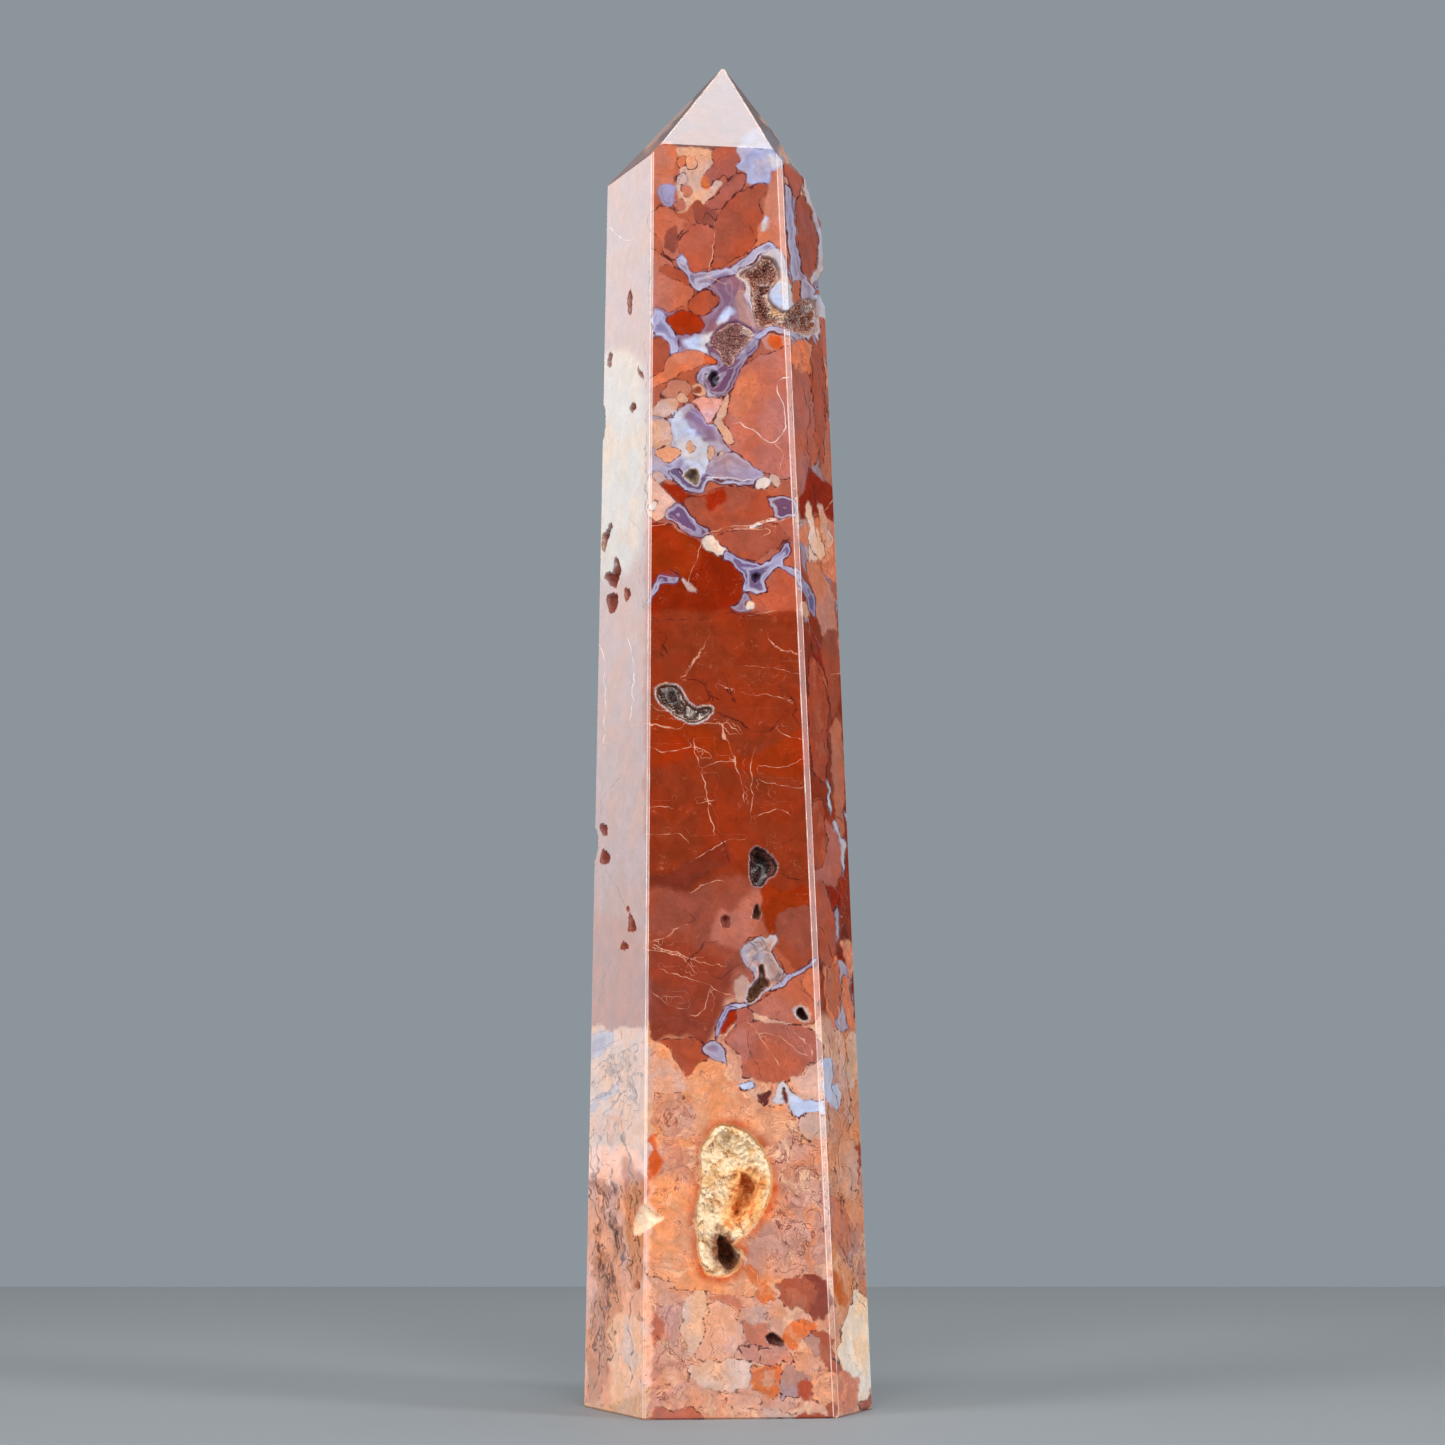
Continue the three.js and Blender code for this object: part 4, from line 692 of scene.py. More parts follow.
# Healed cracks and veins: tone, which is -1 for grey, 0 for dark, 1 for peach and 1.5 for white, then
# width in pixels and the line
streakRows = """
1 0.9: 713,225 713,238 712,253 709,266 710,278
1 0.7: 708,278 720,282 728,284
0 0.8: 678,267 665,255 653,253
0 0.9: 713,221 705,213 703,215
0 1: 745,219 749,229 743,225
0 1: 728,177 726,183 735,177
1.3 1: 737,423 744,424 758,433 770,444 782,434 785,418 782,406 777,392 778,380 788,377
1 0.8: 653,513 678,521 695,533 707,533 728,526 749,525 770,519 794,517 802,521 810,519 823,513 835,498
1 0.7: 701,542 695,563 688,582
1 0.6: 650,526 669,525 684,533
1 0.7: 733,530 745,529 770,530 762,538
1.5 0.8: 707,478 728,477 752,480
0 0.9: 805,388 809,428 808,470 816,496 819,521
1 0.6: 775,611 749,616
1 0.6: 707,641 684,670
1 0.6: 770,639 783,651 798,656
0 0.7: 657,635 669,633 663,647 653,651
0.9 0.5: 773,445 781,454 779,466
1 0.8: 708,640 695,659 683,675
0.42 1.2: 787,1131 793,1142 790,1152
0.42 1: 795,1133 806,1137 815,1132
0.42 1.1: 800,1140 808,1148 812,1160
0.42 1: 790,1165 800,1172 812,1168
0.42 1: 778,1190 785,1200 793,1206
0.42 1: 783,1208 790,1216 800,1222 812,1228
0.42 1.2: 776,1222 784,1230 790,1226 797,1236
0.42 1.1: 786,1238 792,1248 788,1258 780,1262
0.42 1.1: 798,1238 806,1242 806,1252 798,1256
0.42 1: 780,1268 790,1272 798,1264 806,1270
0.42 1: 774,1240 778,1247 774,1254
0.42 1.2: 672,1304 668,1318 674,1330 670,1345 676,1358 686,1366
0.42 1: 660,1310 656,1330 662,1344 658,1362
0.42 1: 680,1362 690,1352 698,1360
0.42 1: 676,1372 684,1382 678,1392
0.42 1.3: 590,1138 595,1176 602,1209 591,1256
0.42 1.3: 633,1117 627,1142 635,1180 639,1209
0.42 1.2: 595,1273 602,1315 595,1348
0.42 1.2: 595,1079 612,1075 629,1083
0.42 1.1: 599,1104 612,1092 620,1094
0.42 1.1: 604,1047 614,1062 625,1066
1.6 1.8: 748,527 770,522 798,516
0 1.4: 655,640 662,646 668,655
0 1.2: 652,650 660,653 663,660
0 2.2: 704,684 706,690 708,697 704,701
0 1.3: 688,678 698,680 706,688 716,700
0 1.4: 726,688 730,694 733,702
0 1.4: 790,698 796,706 792,714 798,722
0 1.6: 738,722 752,730 764,732 774,728
0.4 0.5: 711,1322 709,1339 712,1354
0.4 0.5: 720,1316 722,1335 722,1354
1 0.9: 773,640 783,649 796,654 802,651
1 0.8: 650,705 669,714 690,722 707,724 728,724 735,729
0 1: 716,714 733,720 749,727 766,728 777,723 787,718
1 0.9: 650,724 674,728 686,724
1 1: 650,748 669,753 686,749 699,749 707,753
1 1: 721,723 726,737 735,758 737,770 742,796
1 0.8: 693,743 697,758 705,787 710,808 712,830
1 0.7: 699,768 716,765 735,761
1 1: 756,750 753,766 750,785 752,792
1 0.6: 753,796 750,817
1 0.5: 699,802 714,802
0 0.8: 724,678 730,688 736,703
1 0.6: 650,807 669,808
1 0.6: 650,833 665,834 678,833 684,838
1 0.8: 695,858 712,848 728,839 741,839
0 0.7: 720,842 726,853 730,868
0 0.9: 779,874 789,878 800,880
1 0.7: 756,814 770,812 779,809 787,815
0 0.6: 783,844 793,838
1 0.6: 695,890 712,882 720,882
1 0.7: 650,940 665,937 678,928 690,924
0 0.9: 678,928 690,922 697,918 692,914
1 0.6: 648,949 665,951 682,958 695,970
0 0.7: 686,962 697,951 707,945 722,942
1 0.6: 779,730 787,736 800,739
1 0.5: 760,768 779,766 802,760
1 0.5: 762,783 783,785 804,785
1 0.4: 747,665 770,669 796,674
1 0.4: 745,693 762,694 792,703
1 0.4: 720,686 735,688
0 1.2: 813,644 821,678 829,707
0 1.2: 824,733 828,766 827,785
0 1.3: 833,813 844,825 845,850 843,882 838,905
0 1: 813,800 823,800
0 1: 815,922 825,935 831,964
1 0.8: 834,674 842,675
1 0.7: 648,942 665,948 686,957 707,963 720,965
1 0.7: 665,971 686,976 707,985 728,995 735,996
1.1 0.8: 712,988 707,1001 699,1014 693,1017
1 0.5: 663,995 678,995
1 0.6: 650,991 669,1005 682,1009
0 0.7: 657,1038 669,1035 686,1037 690,1039
0 0.8: 741,964 728,973 724,977 716,978
0 0.7: 707,942 695,951 686,963
1 0.7: 750,1022 762,1041 779,1066
1 0.6: 756,1033 779,1039 808,1058
0 0.6: 749,1024 747,1045 762,1075
1 0.6: 792,1030 810,1045 813,1062
0 1: 739,1009 722,1009 717,1024
0 0.6: 800,972 802,986 813,1001
0.6 0.6: 684,1075 686,1087 695,1108 697,1136
0.6 0.5: 650,1058 665,1066 684,1077
0 0.6: 659,1174 674,1168 690,1170 699,1168
0 0.6: 787,1142 792,1153 794,1140 802,1142
0 0.7: 798,1127 802,1140 810,1142 817,1147 825,1138
0 0.7: 802,1182 813,1174 823,1173
0 0.6: 779,1188 777,1214 783,1230
0 0.6: 783,1235 796,1228 808,1235 813,1245 800,1249
0 0.5: 770,1245 783,1241 792,1256
0 1: 848,1167 855,1188 861,1205 865,1214
0 0.8: 834,1186 840,1205 844,1193
0 0.8: 825,1028 831,1066 838,1108
0 0.8: 842,1083 846,1119 840,1150
0 1.3: 588,1182 594,1209 599,1235 600,1270
0 1.1: 623,1136 629,1159 638,1184
0 0.9: 591,1123 598,1146 599,1159
0.2 0.9: 592,1077 602,1066 615,1064
0.2 0.9: 594,1087 604,1075 617,1069
0.2 0.8: 629,1058 632,1079 638,1100
0.2 0.8: 621,1033 625,1045
0 1: 598,1238 600,1265
0 0.8: 605,1250 604,1280 600,1288
0 0.7: 707,1303 712,1330 713,1352
0 0.8: 654,1414 669,1405 686,1411 697,1411
1 0.8: 745,1266 756,1272 762,1282
0 0.6: 695,1238 707,1248 716,1255
0 0.6: 686,1362 680,1373 674,1389
0 0.5: 650,1330 661,1341 667,1356
0 0.8: 838,1238 850,1267 863,1305
0.9 0.6: 829,1238 842,1255 853,1280
0 1.7: 622,1130 626,1141 630,1151 631,1164 634,1177 638,1189
0 1.4: 596,1132 598,1143 599,1160
0 1.9: 594,1227 597,1240 599,1254 603,1273 607,1288
-1 1.9: 611,1214 616,1227 622,1240 623,1256 621,1273
-1 1.7: 608,1220 612,1236 615,1252 613,1270
0 1.2: 600,1258 606,1274 611,1292 610,1310
-1 2: 631,1084 635,1097 637,1105
0 1.4: 596,1179 601,1188 605,1198 608,1207
-1 1.5: 608,1118 606,1130 607,1140 612,1149
-1 1.9: 603,1102 612,1094 616,1084
-1 1.9: 598,1064 606,1072 612,1080 613,1092
-1 1.7: 622,1056 615,1066 606,1070
-1 1.7: 634,1060 626,1066 618,1070 610,1080
-1 1.7: 640,1074 630,1076 620,1082
0 1.4: 597,1300 602,1316 600,1334 606,1350
0 1.2: 612,1322 616,1338 612,1352
-1 1.4: 606,1290 604,1306 608,1322
0 1.2: 630,1256 632,1268 629,1280
-1 2: 748,940 756,952 752,966
-1 1.7: 760,938 768,950 780,958
-1 1.7: 770,962 777,974 769,984
-1 1.7: 755,951 768,951
0 1.2: 745,942 750,936 758,938
0 1.2: 779,962 783,972 778,980
0 0.7: 842,1196 846,1220 848,1246
0 0.7: 838,1150 842,1168 840,1190
0 0.8: 846,1254 852,1272 854,1300
0 0.8: 850,1090 854,1110 851,1130
0 0.7: 841,1080 844,1096 842,1112
0 0.8: 812,352 814,380 813,402
0 0.8: 822,366 824,396 826,424
1 0.5: 818,560 826,576 830,600
1.5 0.5: 838,1010 840,1030 838,1048
0 0.7: 844,1036 846,1056 843,1074
0.3 0.7: 600,812 606,795 614,783 622,773
0.3 0.7: 606,870 618,890 626,905 634,925
0.3 0.6: 600,1000 606,975 614,955 622,948
0.3 0.7: 632,521 637,527 640,531
0.3 0.7: 623,549 628,540
1.5 0.6: 604,232 612,226 620,236 628,240
1.5 0.6: 600,640 606,690 603,740
1.5 0.7: 628,640 634,680 630,720
-1 0.5: 624,180 618,215 612,250 606,285
-1 1.2: 642,1042 622,1050 606,1060 592,1066
-1 1.9: 636,1052 618,1064 604,1076 592,1082
-1 2: 634,1062 620,1078 608,1092 594,1100
-1 1.7: 632,1074 622,1092 612,1108 600,1116
-1 1.5: 634,1086 626,1104 618,1120 612,1136
-1 0.8: 622,1040 612,1044 602,1048 592,1050
0.3 1.7: 600,1160 597,1185 603,1210 599,1240 606,1268
0.3 1.9: 611,1165 615,1190 609,1215 616,1245 611,1270 618,1300
0.3 1.5: 604,1270 599,1300 604,1330 598,1360
0.3 1.5: 620,1190 616,1215 623,1240
0.3 1.7: 612,1290 607,1318 614,1345 606,1372
0.3 1.7: 596,1300 592,1330 598,1362 593,1395
0.2 1.4: 641,1196 637,1230 642,1262
-1 1.5: 636,1290 630,1320 634,1350 626,1385
"""
streaks = readRows(streakRows, makeStreak)
markWander = ((23, 11, 1.6), (10, 1, 1.7), (4.4, 3, 1.1))
looseStone = (1040, 1140)
faintSeam = 0.15
farAway = 30.0
patchMargin = 12.0
streakMargin = 6.0


def toLinear(color):
    value = np.array(color) / 255
    return np.where(value <= 0.04045, value / 12.92, ((value + 0.055) / 1.055) ** 2.4)


stoneColors = {name: toLinear(values[:3]) for name, values in stones.items()}


def wander(pixels):
    # Pushes the outlines about, twice as far in the loose stone near the foot.
    shift = [ruffle(pixels, markWander, k) for k in (0, 1)]
    loose = 1 + easing(pixels[:, 1], *looseStone)
    return pixels + np.stack(shift, 1) * loose[:, None]


def paint(pixels):
    # What the patches, laid over each other, give each point: colour, cover, texture, the distance
    # and strength of the nearest seam, and how deep it lies in banded stone and how clear the bands are
    count = len(pixels)
    spots = wander(pixels)
    color = np.tile(stoneColors[baseStone], (count, 1))
    texture = np.tile(np.array(stones[baseStone][3:], float), (count, 1))
    covered, strength, bands = np.zeros(count), np.zeros(count), np.zeros(count)
    seam, banded = np.full(count, patchMargin), np.full(count, -patchMargin)
    for layer in patches:
        rows = near(spots, layer["loop"], patchMargin)
        if not len(rows):
            continue
        depth = depthInside(spots[rows], layer["loop"])
        cover = easing(depth, -layer["soft"] / 2, layer["soft"] / 2)[:, None]
        color[rows] += (stoneColors[layer["stone"]] - color[rows]) * cover
        covered[rows] += (1 - covered[rows]) * cover[:, 0]
        texture[rows] += (np.array(stones[layer["stone"]][3:], float) - texture[rows]) * cover
        if layer["bands"]:
            banded[rows] = np.maximum(banded[rows], depth)
            bands[rows] = np.where(depth > -1, layer["bands"], bands[rows])
        else:
            banded[rows] = np.minimum(banded[rows], -depth)
        if layer["seam"] < faintSeam:
            continue
        closer = (depth > 0) | (-depth < seam[rows])
        rows, depth = rows[closer], depth[closer]
        seam[rows] = np.abs(depth)
        strength[rows] = layer["seam"]
    return color, covered, texture, seam, strength, banded, bands


def findStreaks(pixels):
    spots = wander(pixels)
    distance = np.full(len(pixels), farAway)
    tone, width = np.ones(len(pixels)), np.zeros(len(pixels))
    for mark in streaks:
        rows = near(spots, mark["line"], streakMargin)
        if not len(rows):
            continue
        gap, side = nearestOnEdges(spots[rows], mark["line"][:-1], mark["line"][1:])
        closer = gap < np.abs(distance[rows])
        rows, gap, side = rows[closer], gap[closer], side[closer]
        distance[rows] = np.where(side < 0, -gap, gap)
        tone[rows], width[rows] = mark["tone"], mark["width"]
    return distance, tone, width


print("tower form")


def facePlane(start, end, lean):
    start, end = (np.array([*tower["corners"][name], 0.0]) for name in (start, end))
    along = (end - start) / np.linalg.norm(end - start)
    tip = math.radians(lean)
    normal = np.array([along[1] * math.cos(tip), -along[0] * math.cos(tip), math.sin(tip)])
    return normal, normal @ start


def crownPlane(heading, tilt):
    turn, slope = math.radians(heading), math.radians(tilt)
    normal = np.array([
        math.sin(turn) * math.sin(slope), -math.cos(turn) * math.sin(slope), math.cos(slope),
    ])
    return normal, normal @ tower["apex"]


def bevelPlane(first, second, width):
    total = first[0] + second[0]
    length = np.linalg.norm(total)
    half = math.acos(np.clip(first[0] @ second[0], -1, 1)) / 2
    return total / length, (first[1] + second[1]) / length - width * math.tan(half) / 2


sidePlanes = {name: facePlane(*values) for name, values in tower["sides"].items()}
crownPlanes = {name: crownPlane(*values) for name, values in tower["crown"].items()}
sideNames = list(sidePlanes)


def allPlanes():
    foot = (np.array([0.0, 0.0, -1.0]), 0.0)
    planes = {"foot": foot, "tip": (np.array([0.0, 0.0, 1.0]), tower["height"])}
    for i, name in enumerate(sideNames):
        follow = sideNames[(i + 1) % len(sideNames)]
        planes[name] = sidePlanes[name]
        planes["crown " + name] = crownPlanes[name]
        planes["bevel " + name] = bevelPlane(
            sidePlanes[name], sidePlanes[follow], tower["sideBevel"][name])
        planes["ridge " + name] = bevelPlane(
            crownPlanes[name], crownPlanes[follow], tower["ridgeBevel"])
        planes["shoulder " + name] = bevelPlane(
            sidePlanes[name], crownPlanes[name], tower["shoulderBevel"])
        planes["footBevel " + name] = bevelPlane(sidePlanes[name], foot, tower["footBevel"])
    return planes


closeTo = {"parallel": 1e-5, "inside": 1e-6, "plane": 1e-4}


def hullPolygons(planes):
    # The corners of the solid between the planes, and each face as a ring of corner numbers.
    normals = np.array([plane[0] for plane in planes.values()])
    offsets = np.array([plane[1] for plane in planes.values()])
    trios = np.array(list(itertools.combinations(range(len(planes)), 3)))
    trios = trios[np.abs(np.linalg.det(normals[trios])) > closeTo["parallel"]]
    spots = np.linalg.solve(normals[trios], offsets[trios][..., None])[..., 0]
    spots = spots[(spots @ normals.T <= offsets + closeTo["inside"]).all(1)]
    corners = np.unique(np.round(spots, 5), axis=0)
    rings = {}
    for name, normal, offset in zip(planes, normals, offsets):
        on = np.flatnonzero(np.abs(corners @ normal - offset) < closeTo["plane"])
        if len(on) < 3:
            continue
        across, up = faceAxes(normal)
        flat = corners[on] - corners[on].mean(0)
        rings[name] = on[np.argsort(np.arctan2(flat @ up, flat @ across))]
    return corners, rings


def faceAxes(normal):
    across = np.cross((0.0, 0.0, 1.0), normal)
    if np.linalg.norm(across) < 1e-6:
        across = np.array([1.0, 0.0, 0.0])
    across = across / np.linalg.norm(across)
    return across, np.cross(normal, across)


def spacingOf(name):
    narrow = name.split()[0] in ("bevel", "ridge", "shoulder", "footBevel")
    return spacing.get(name, spacing["bevel" if narrow else "other"])


def roundNormals(points, radius=2.5):
    # Outward directions that turn smoothly over the edges.
    total = np.zeros((len(points), 3))
    for normal, offset in [*sidePlanes.values(), *crownPlanes.values()]:
        weight = np.clip(1 - (offset - points @ normal) / radius, 0, 1) ** 2
        total += weight[:, None] * normal
    length = np.linalg.norm(total, axis=1)
    low = length < 1e-6
    total[low] = (0, 0, 1)
    length[low] = 1
    return total / length[:, None]


def facesCamera(points, outward):
    return (outward * (photo["eye"] - points)).sum(1) > 0


def hexGrid(low, high, step):
    rows = np.arange(low[1], high[1], step * hexRow)
    columns = np.arange(low[0], high[0], step)
    x, y = np.meshgrid(columns, rows)
    x = x + (np.arange(len(rows)) % 2)[:, None] * step / 2
    return np.stack([x.ravel(), y.ravel()], 1)


def sideFrame(side):
    start, end = (np.array([*tower["corners"][name], 0.0]) for name in tower["sides"][side][:2])
    across = (end - start) / np.linalg.norm(end - start)
    normal = sidePlanes[side][0]
    return (start + end) / 2, across, np.cross(normal, across), normal


def backDepths(points, outward):
    # Depth of the few hollows on the faces away from the camera.
    depth = np.zeros(len(points))
    for hollow in backHollows:
        middle, across, up, normal = sideFrame(hollow["side"])
        away = points - middle
        flat = np.stack([away @ across, away @ up], 1) - hollow["at"]
        uneven = 1 + ruffle(flat, backRoughness)
        reach = np.linalg.norm(flat / hollow["half"], axis=1) * uneven
        on = (outward @ normal > 0.95) & (reach < 1)
        depth[on] = hollow["depth"] * (1 - reach[on] ** wallCurve)
    return depth


def needsDetail(points, outward):
    # True for points on the tower near a marking's edge, a streak, a hollow or a loss.
    needed = backDepths(points, outward) > 0
    seen = np.flatnonzero(facesCamera(points, outward))
    pixels = toPhoto(points[seen])
    seam, strength, banded = paint(pixels)[3:6]
    close = (seam < fineWithin["seam"]) & (strength > faintSeam)
    close |= np.abs(findStreaks(pixels)[0]) < fineWithin["streak"]
    close |= np.abs(banded) < fineWithin["bands"]
    for name in hollows:
        rows, inside = hollowDepths(name, pixels)
        close[rows[inside > -fineWithin["hollow"]]] = True
    needed[seen[close]] = True
    for loss in losses:
        away = (points - loss["at"]) / np.array(loss["reach"])
        needed |= (away**2).sum(1) < fineWithin["loss"]
    return needed


def meshTower():
    # The ground form as one closed net of fine triangles.
    planes = allPlanes()
    corners, rings = hullPolygons(planes)
    sharing = {}
    for name, ring in rings.items():
        for a, b in zip(ring, np.roll(ring, -1)):
            sharing.setdefault((min(a, b), max(a, b)), []).append(name)
    points = [tuple(corner) for corner in corners]
    along = {}
    for (a, b), names in sharing.items():
        assert len(names) == 2, (names, corners[a], corners[b])
        step = min(spacingOf(name)[1] for name in names) * edgeStep
        count = max(1, round(np.linalg.norm(corners[b] - corners[a]) / step))
        inner = [corners[a] + (corners[b] - corners[a]) * k / count for k in range(1, count)]
        along[a, b] = list(range(len(points), len(points) + len(inner)))
        points += [tuple(spot) for spot in inner]
    triangles = []
    for name, ring in rings.items():
        normal = planes[name][0]
        across, up = faceAxes(normal)
        border = []
        for a, b in zip(ring, np.roll(ring, -1)):
            run = along[min(a, b), max(a, b)]
            border += [a, *(run if a < b else run[::-1])]
        rim = np.array([points[i] for i in border])
        flatRim = np.stack([rim @ across, rim @ up], 1)
        origin = normal * planes[name][1]
        plain, fine = spacingOf(name)
        inner = fillFace(flatRim, origin, across, up, plain, fine)
        spots = origin + inner[:, :1] * across + inner[:, 1:] * up
        numbers = border + list(range(len(points), len(points) + len(inner)))
        points += [tuple(spot) for spot in spots]
        flat = [Vector(spot) for spot in np.vstack([flatRim, inner]).tolist()]
        edges = [(i, (i + 1) % len(border)) for i in range(len(border))]
        made = geometry.delaunay_2d_cdt(flat, edges, [], 1, closeTo["inside"])
        source = [found[0] for found in made[3]]
        for face in made[2]:
            triangles.append([numbers[source[i]] for i in face])
    return np.array(points), np.array(triangles)


def fillFace(flatRim, origin, across, up, plain, fine):
    # Points inside a face: a plain net, with a finer one where detail needs it.
    low, high = flatRim.min(0), flatRim.max(0)
    kept = []
    for step, wanted in ((plain, False), (fine, True)):
        grid = hexGrid(low, high, step)
        grid = grid[convexDepth(grid, flatRim) > fine * edgeGap]
        if not len(grid):
            continue
        spots = origin + grid[:, :1] * across + grid[:, 1:] * up
        detailed = needsDetail(spots, roundNormals(spots))
        kept.append(grid[detailed == wanted])
    return np.vstack(kept) if kept else np.zeros((0, 2))


def convexDepth(grid, rim):
    # Distance to the nearest side of a convex ring, positive inside.
    edge = np.roll(rim, -1, 0) - rim
    turn = edge[:, 0] * np.roll(edge, -1, 0)[:, 1] - edge[:, 1] * np.roll(edge, -1, 0)[:, 0]
    length = np.linalg.norm(edge, axis=1)
    sharp = np.abs(turn) > 1e-4 * length * np.roll(length, -1)
    corners = rim[np.roll(sharp, 1)]
    edge = np.roll(corners, -1, 0) - corners
    inward = np.stack([-edge[:, 1], edge[:, 0]], 1) / np.linalg.norm(edge, axis=1)[:, None]
    return ((grid[:, None] - corners[None]) * inward).sum(2).min(1)


def cutHollows(points, outward):
    # Pushes the walls of the hollows in, and gives how far inside an outline each point lies.
    depth = backDepths(points, outward)
    inside = np.where(depth > 0, 3.0, -9.0)
    seen = np.flatnonzero(facesCamera(points, outward))
    pixels = toPhoto(points[seen])
    reaches = {}
    for name, hollow in hollows.items():
        rows, reach = hollowDepths(name, pixels)
        rows = seen[rows]
        reaches[name] = np.full(len(points), outOfReach)
        reaches[name][rows] = reach
        depth[rows] = np.maximum(depth[rows], wallProfile(reach, hollow))
        inside[rows] = np.maximum(inside[rows], reach)
    sunk = depth + np.where(depth > roughFrom, ruffle(points, wallRoughness), 0)
    return points - outward * sunk[:, None], inside, reaches


def cutLosses(points):
    # Pulls the points in each missing lump inwards to the lump's far side.
    moved = points.copy()
    for loss in losses:
        middle, reach = np.array(loss["at"]), np.array(loss["reach"])
        offset = (moved - middle) / reach
        rows = np.flatnonzero((offset**2).sum(1) < 1)
        inward = -moved[rows] * (1, 1, 0)
        inward /= np.linalg.norm(inward, axis=1)[:, None]
        start, step = offset[rows], inward / reach
        a, b, c = (step**2).sum(1), (start * step).sum(1), (start**2).sum(1) - 1
        travel = (-b + np.sqrt(b * b - a * c)) / a
        travel *= 1 + ruffle(moved[rows], lossRoughness)
        moved[rows] += inward * travel[:, None]
    return moved


def meshObject(name, points, triangles, material, smooth=True):
    mesh = bpy.data.meshes.new(name)
    mesh.vertices.add(len(points))
    mesh.vertices.foreach_set("co", (points * mm).astype(np.float32).ravel())
    mesh.loops.add(len(triangles) * 3)
    mesh.loops.foreach_set("vertex_index", np.asarray(triangles, np.int32).ravel())
    mesh.polygons.add(len(triangles))
    mesh.polygons.foreach_set("loop_start", np.arange(0, len(triangles) * 3, 3, dtype=np.int32))
    mesh.update(calc_edges=True)
    mesh.validate()
    mesh.polygons.foreach_set("use_smooth", np.full(len(triangles), smooth))
    mesh.materials.append(material)
    made = bpy.data.objects.new(name, mesh)
    scene.collection.objects.link(made)
    return made


def setVectors(mesh, name, values):
    layer = mesh.attributes.new(name, "FLOAT_VECTOR", "POINT")
    layer.data.foreach_set("vector", values.astype(np.float32).ravel())


def setValues(mesh, name, values):
    layer = mesh.attributes.new(name, "FLOAT", "POINT")
    layer.data.foreach_set("value", values.astype(np.float32))


def setColors(mesh, name, color, alpha):
    layer = mesh.attributes.new(name, "FLOAT_COLOR", "POINT")
    layer.data.foreach_set("color", np.column_stack([color, alpha]).astype(np.float32).ravel())


def rightEdge(rows):
    # Where the bevel right of the front face lies at a height in the photo.
    line = photo["bevelTop"][0] + (rows - photo["bevelTop"][1]) * photo["bevelSlope"]
    return line - photo["bevelHalf"], line + photo["bevelHalf"]


haloWaves = ((9, 61, 0.35),)
paintWaves = ((3.0, 71, 1.0),)
paintFades = (1.2, 3.6)
rimSoftness, wallSoftness = 0.8, 0.7
visiblePlanes = [planes[name] for planes in (sidePlanes, crownPlanes) for name in ("front", "left", "right")]


def markTower(mesh, points, plain, outward, inside):
    # Writes the markings on the mesh's points. The hollows are found on the plain ones.
    color, covered, texture, seam, strength, banded, bands = paint(toPhoto(points))
    distance, tone, width = findStreaks(toPhoto(points))
    seen = facesCamera(plain, outward)
    pixels = toPhoto(plain)
    for name, hollow in hollows.items():
        reach = hollowReach[name]
        rows = np.flatnonzero(seen & (reach > outOfReach))
        reach = reach[rows]
        if hollow["halo"]:
            uneven = 0.75 + ruffle(pixels[rows], haloWaves)
            glow = np.clip(easing(reach, -hollow["haloWidth"], -1.0) * uneven, 0, 1)[:, None]
            color[rows] += (stoneColors[hollow["halo"]] - color[rows]) * glow
        if hollow["rim"]:
            band = easing(reach + hollow["rimWidth"], -rimSoftness, rimSoftness)[:, None]
            color[rows] += (stoneColors[hollow["rim"]] - color[rows]) * band
        wall = easing(reach, -wallSoftness, wallSoftness)
        color[rows] += (stoneColors[hollow["wall"]] - color[rows]) * wall[:, None]
        covered[rows] = np.maximum(covered[rows], wall)
        strength[rows] *= 1 - easing(reach, -hollow["rimWidth"] - 1, 0.5)
        width[rows[reach > -1]] = 0
    onFront = np.maximum(easing(pixels[:, 0], *rightEdge(pixels[:, 1])), 0)
    covered = np.maximum(covered, 1 - onFront)
    behind = np.min([plane[1] - plain @ plane[0] for plane in visiblePlanes], 0)
    mask = covered * (1 - easing(behind + ruffle(plain, paintWaves), *paintFades))
    scale = 1 / photo["pixelsPerMm"]
    setColors(mesh, "paint", color, mask)
    setVectors(mesh, "seams", np.column_stack([seam * scale, strength, np.zeros(len(seam))]))
    setVectors(mesh, "bands", np.column_stack([banded * scale, bands, np.zeros(len(seam))]))
    setVectors(mesh, "streaks", np.column_stack([distance * scale, tone, width * scale]))
    setVectors(mesh, "texture", np.column_stack([texture, easing(inside, -0.5, 1.0)]))


print("materials")


def add(tree, kind, inputs=None, **settings):
    # A node with its settings, and with each input joined to a socket or set to a value.
    made = tree.nodes.new(kind)
    for name, value in settings.items():
        setattr(made, name, value)
    for name, value in (inputs or {}).items():
        if isinstance(value, bpy.types.NodeSocket):
            tree.links.new(value, made.inputs[name])
        else:
            made.inputs[name].default_value = value
    return made


def calc(tree, operation, a, b=0.0, c=0.0):
    return add(tree, "ShaderNodeMath", {0: a, 1: b, 2: c}, operation=operation).outputs[0]


def times(tree, first, *others):
    for other in others:
        first = calc(tree, "MULTIPLY", first, other)
    return first


def vectorCalc(tree, operation, inputs):
    return add(tree, "ShaderNodeVectorMath", inputs, operation=operation).outputs


def splitAxes(tree, vector):
    return add(tree, "ShaderNodeSeparateXYZ", {0: vector}).outputs


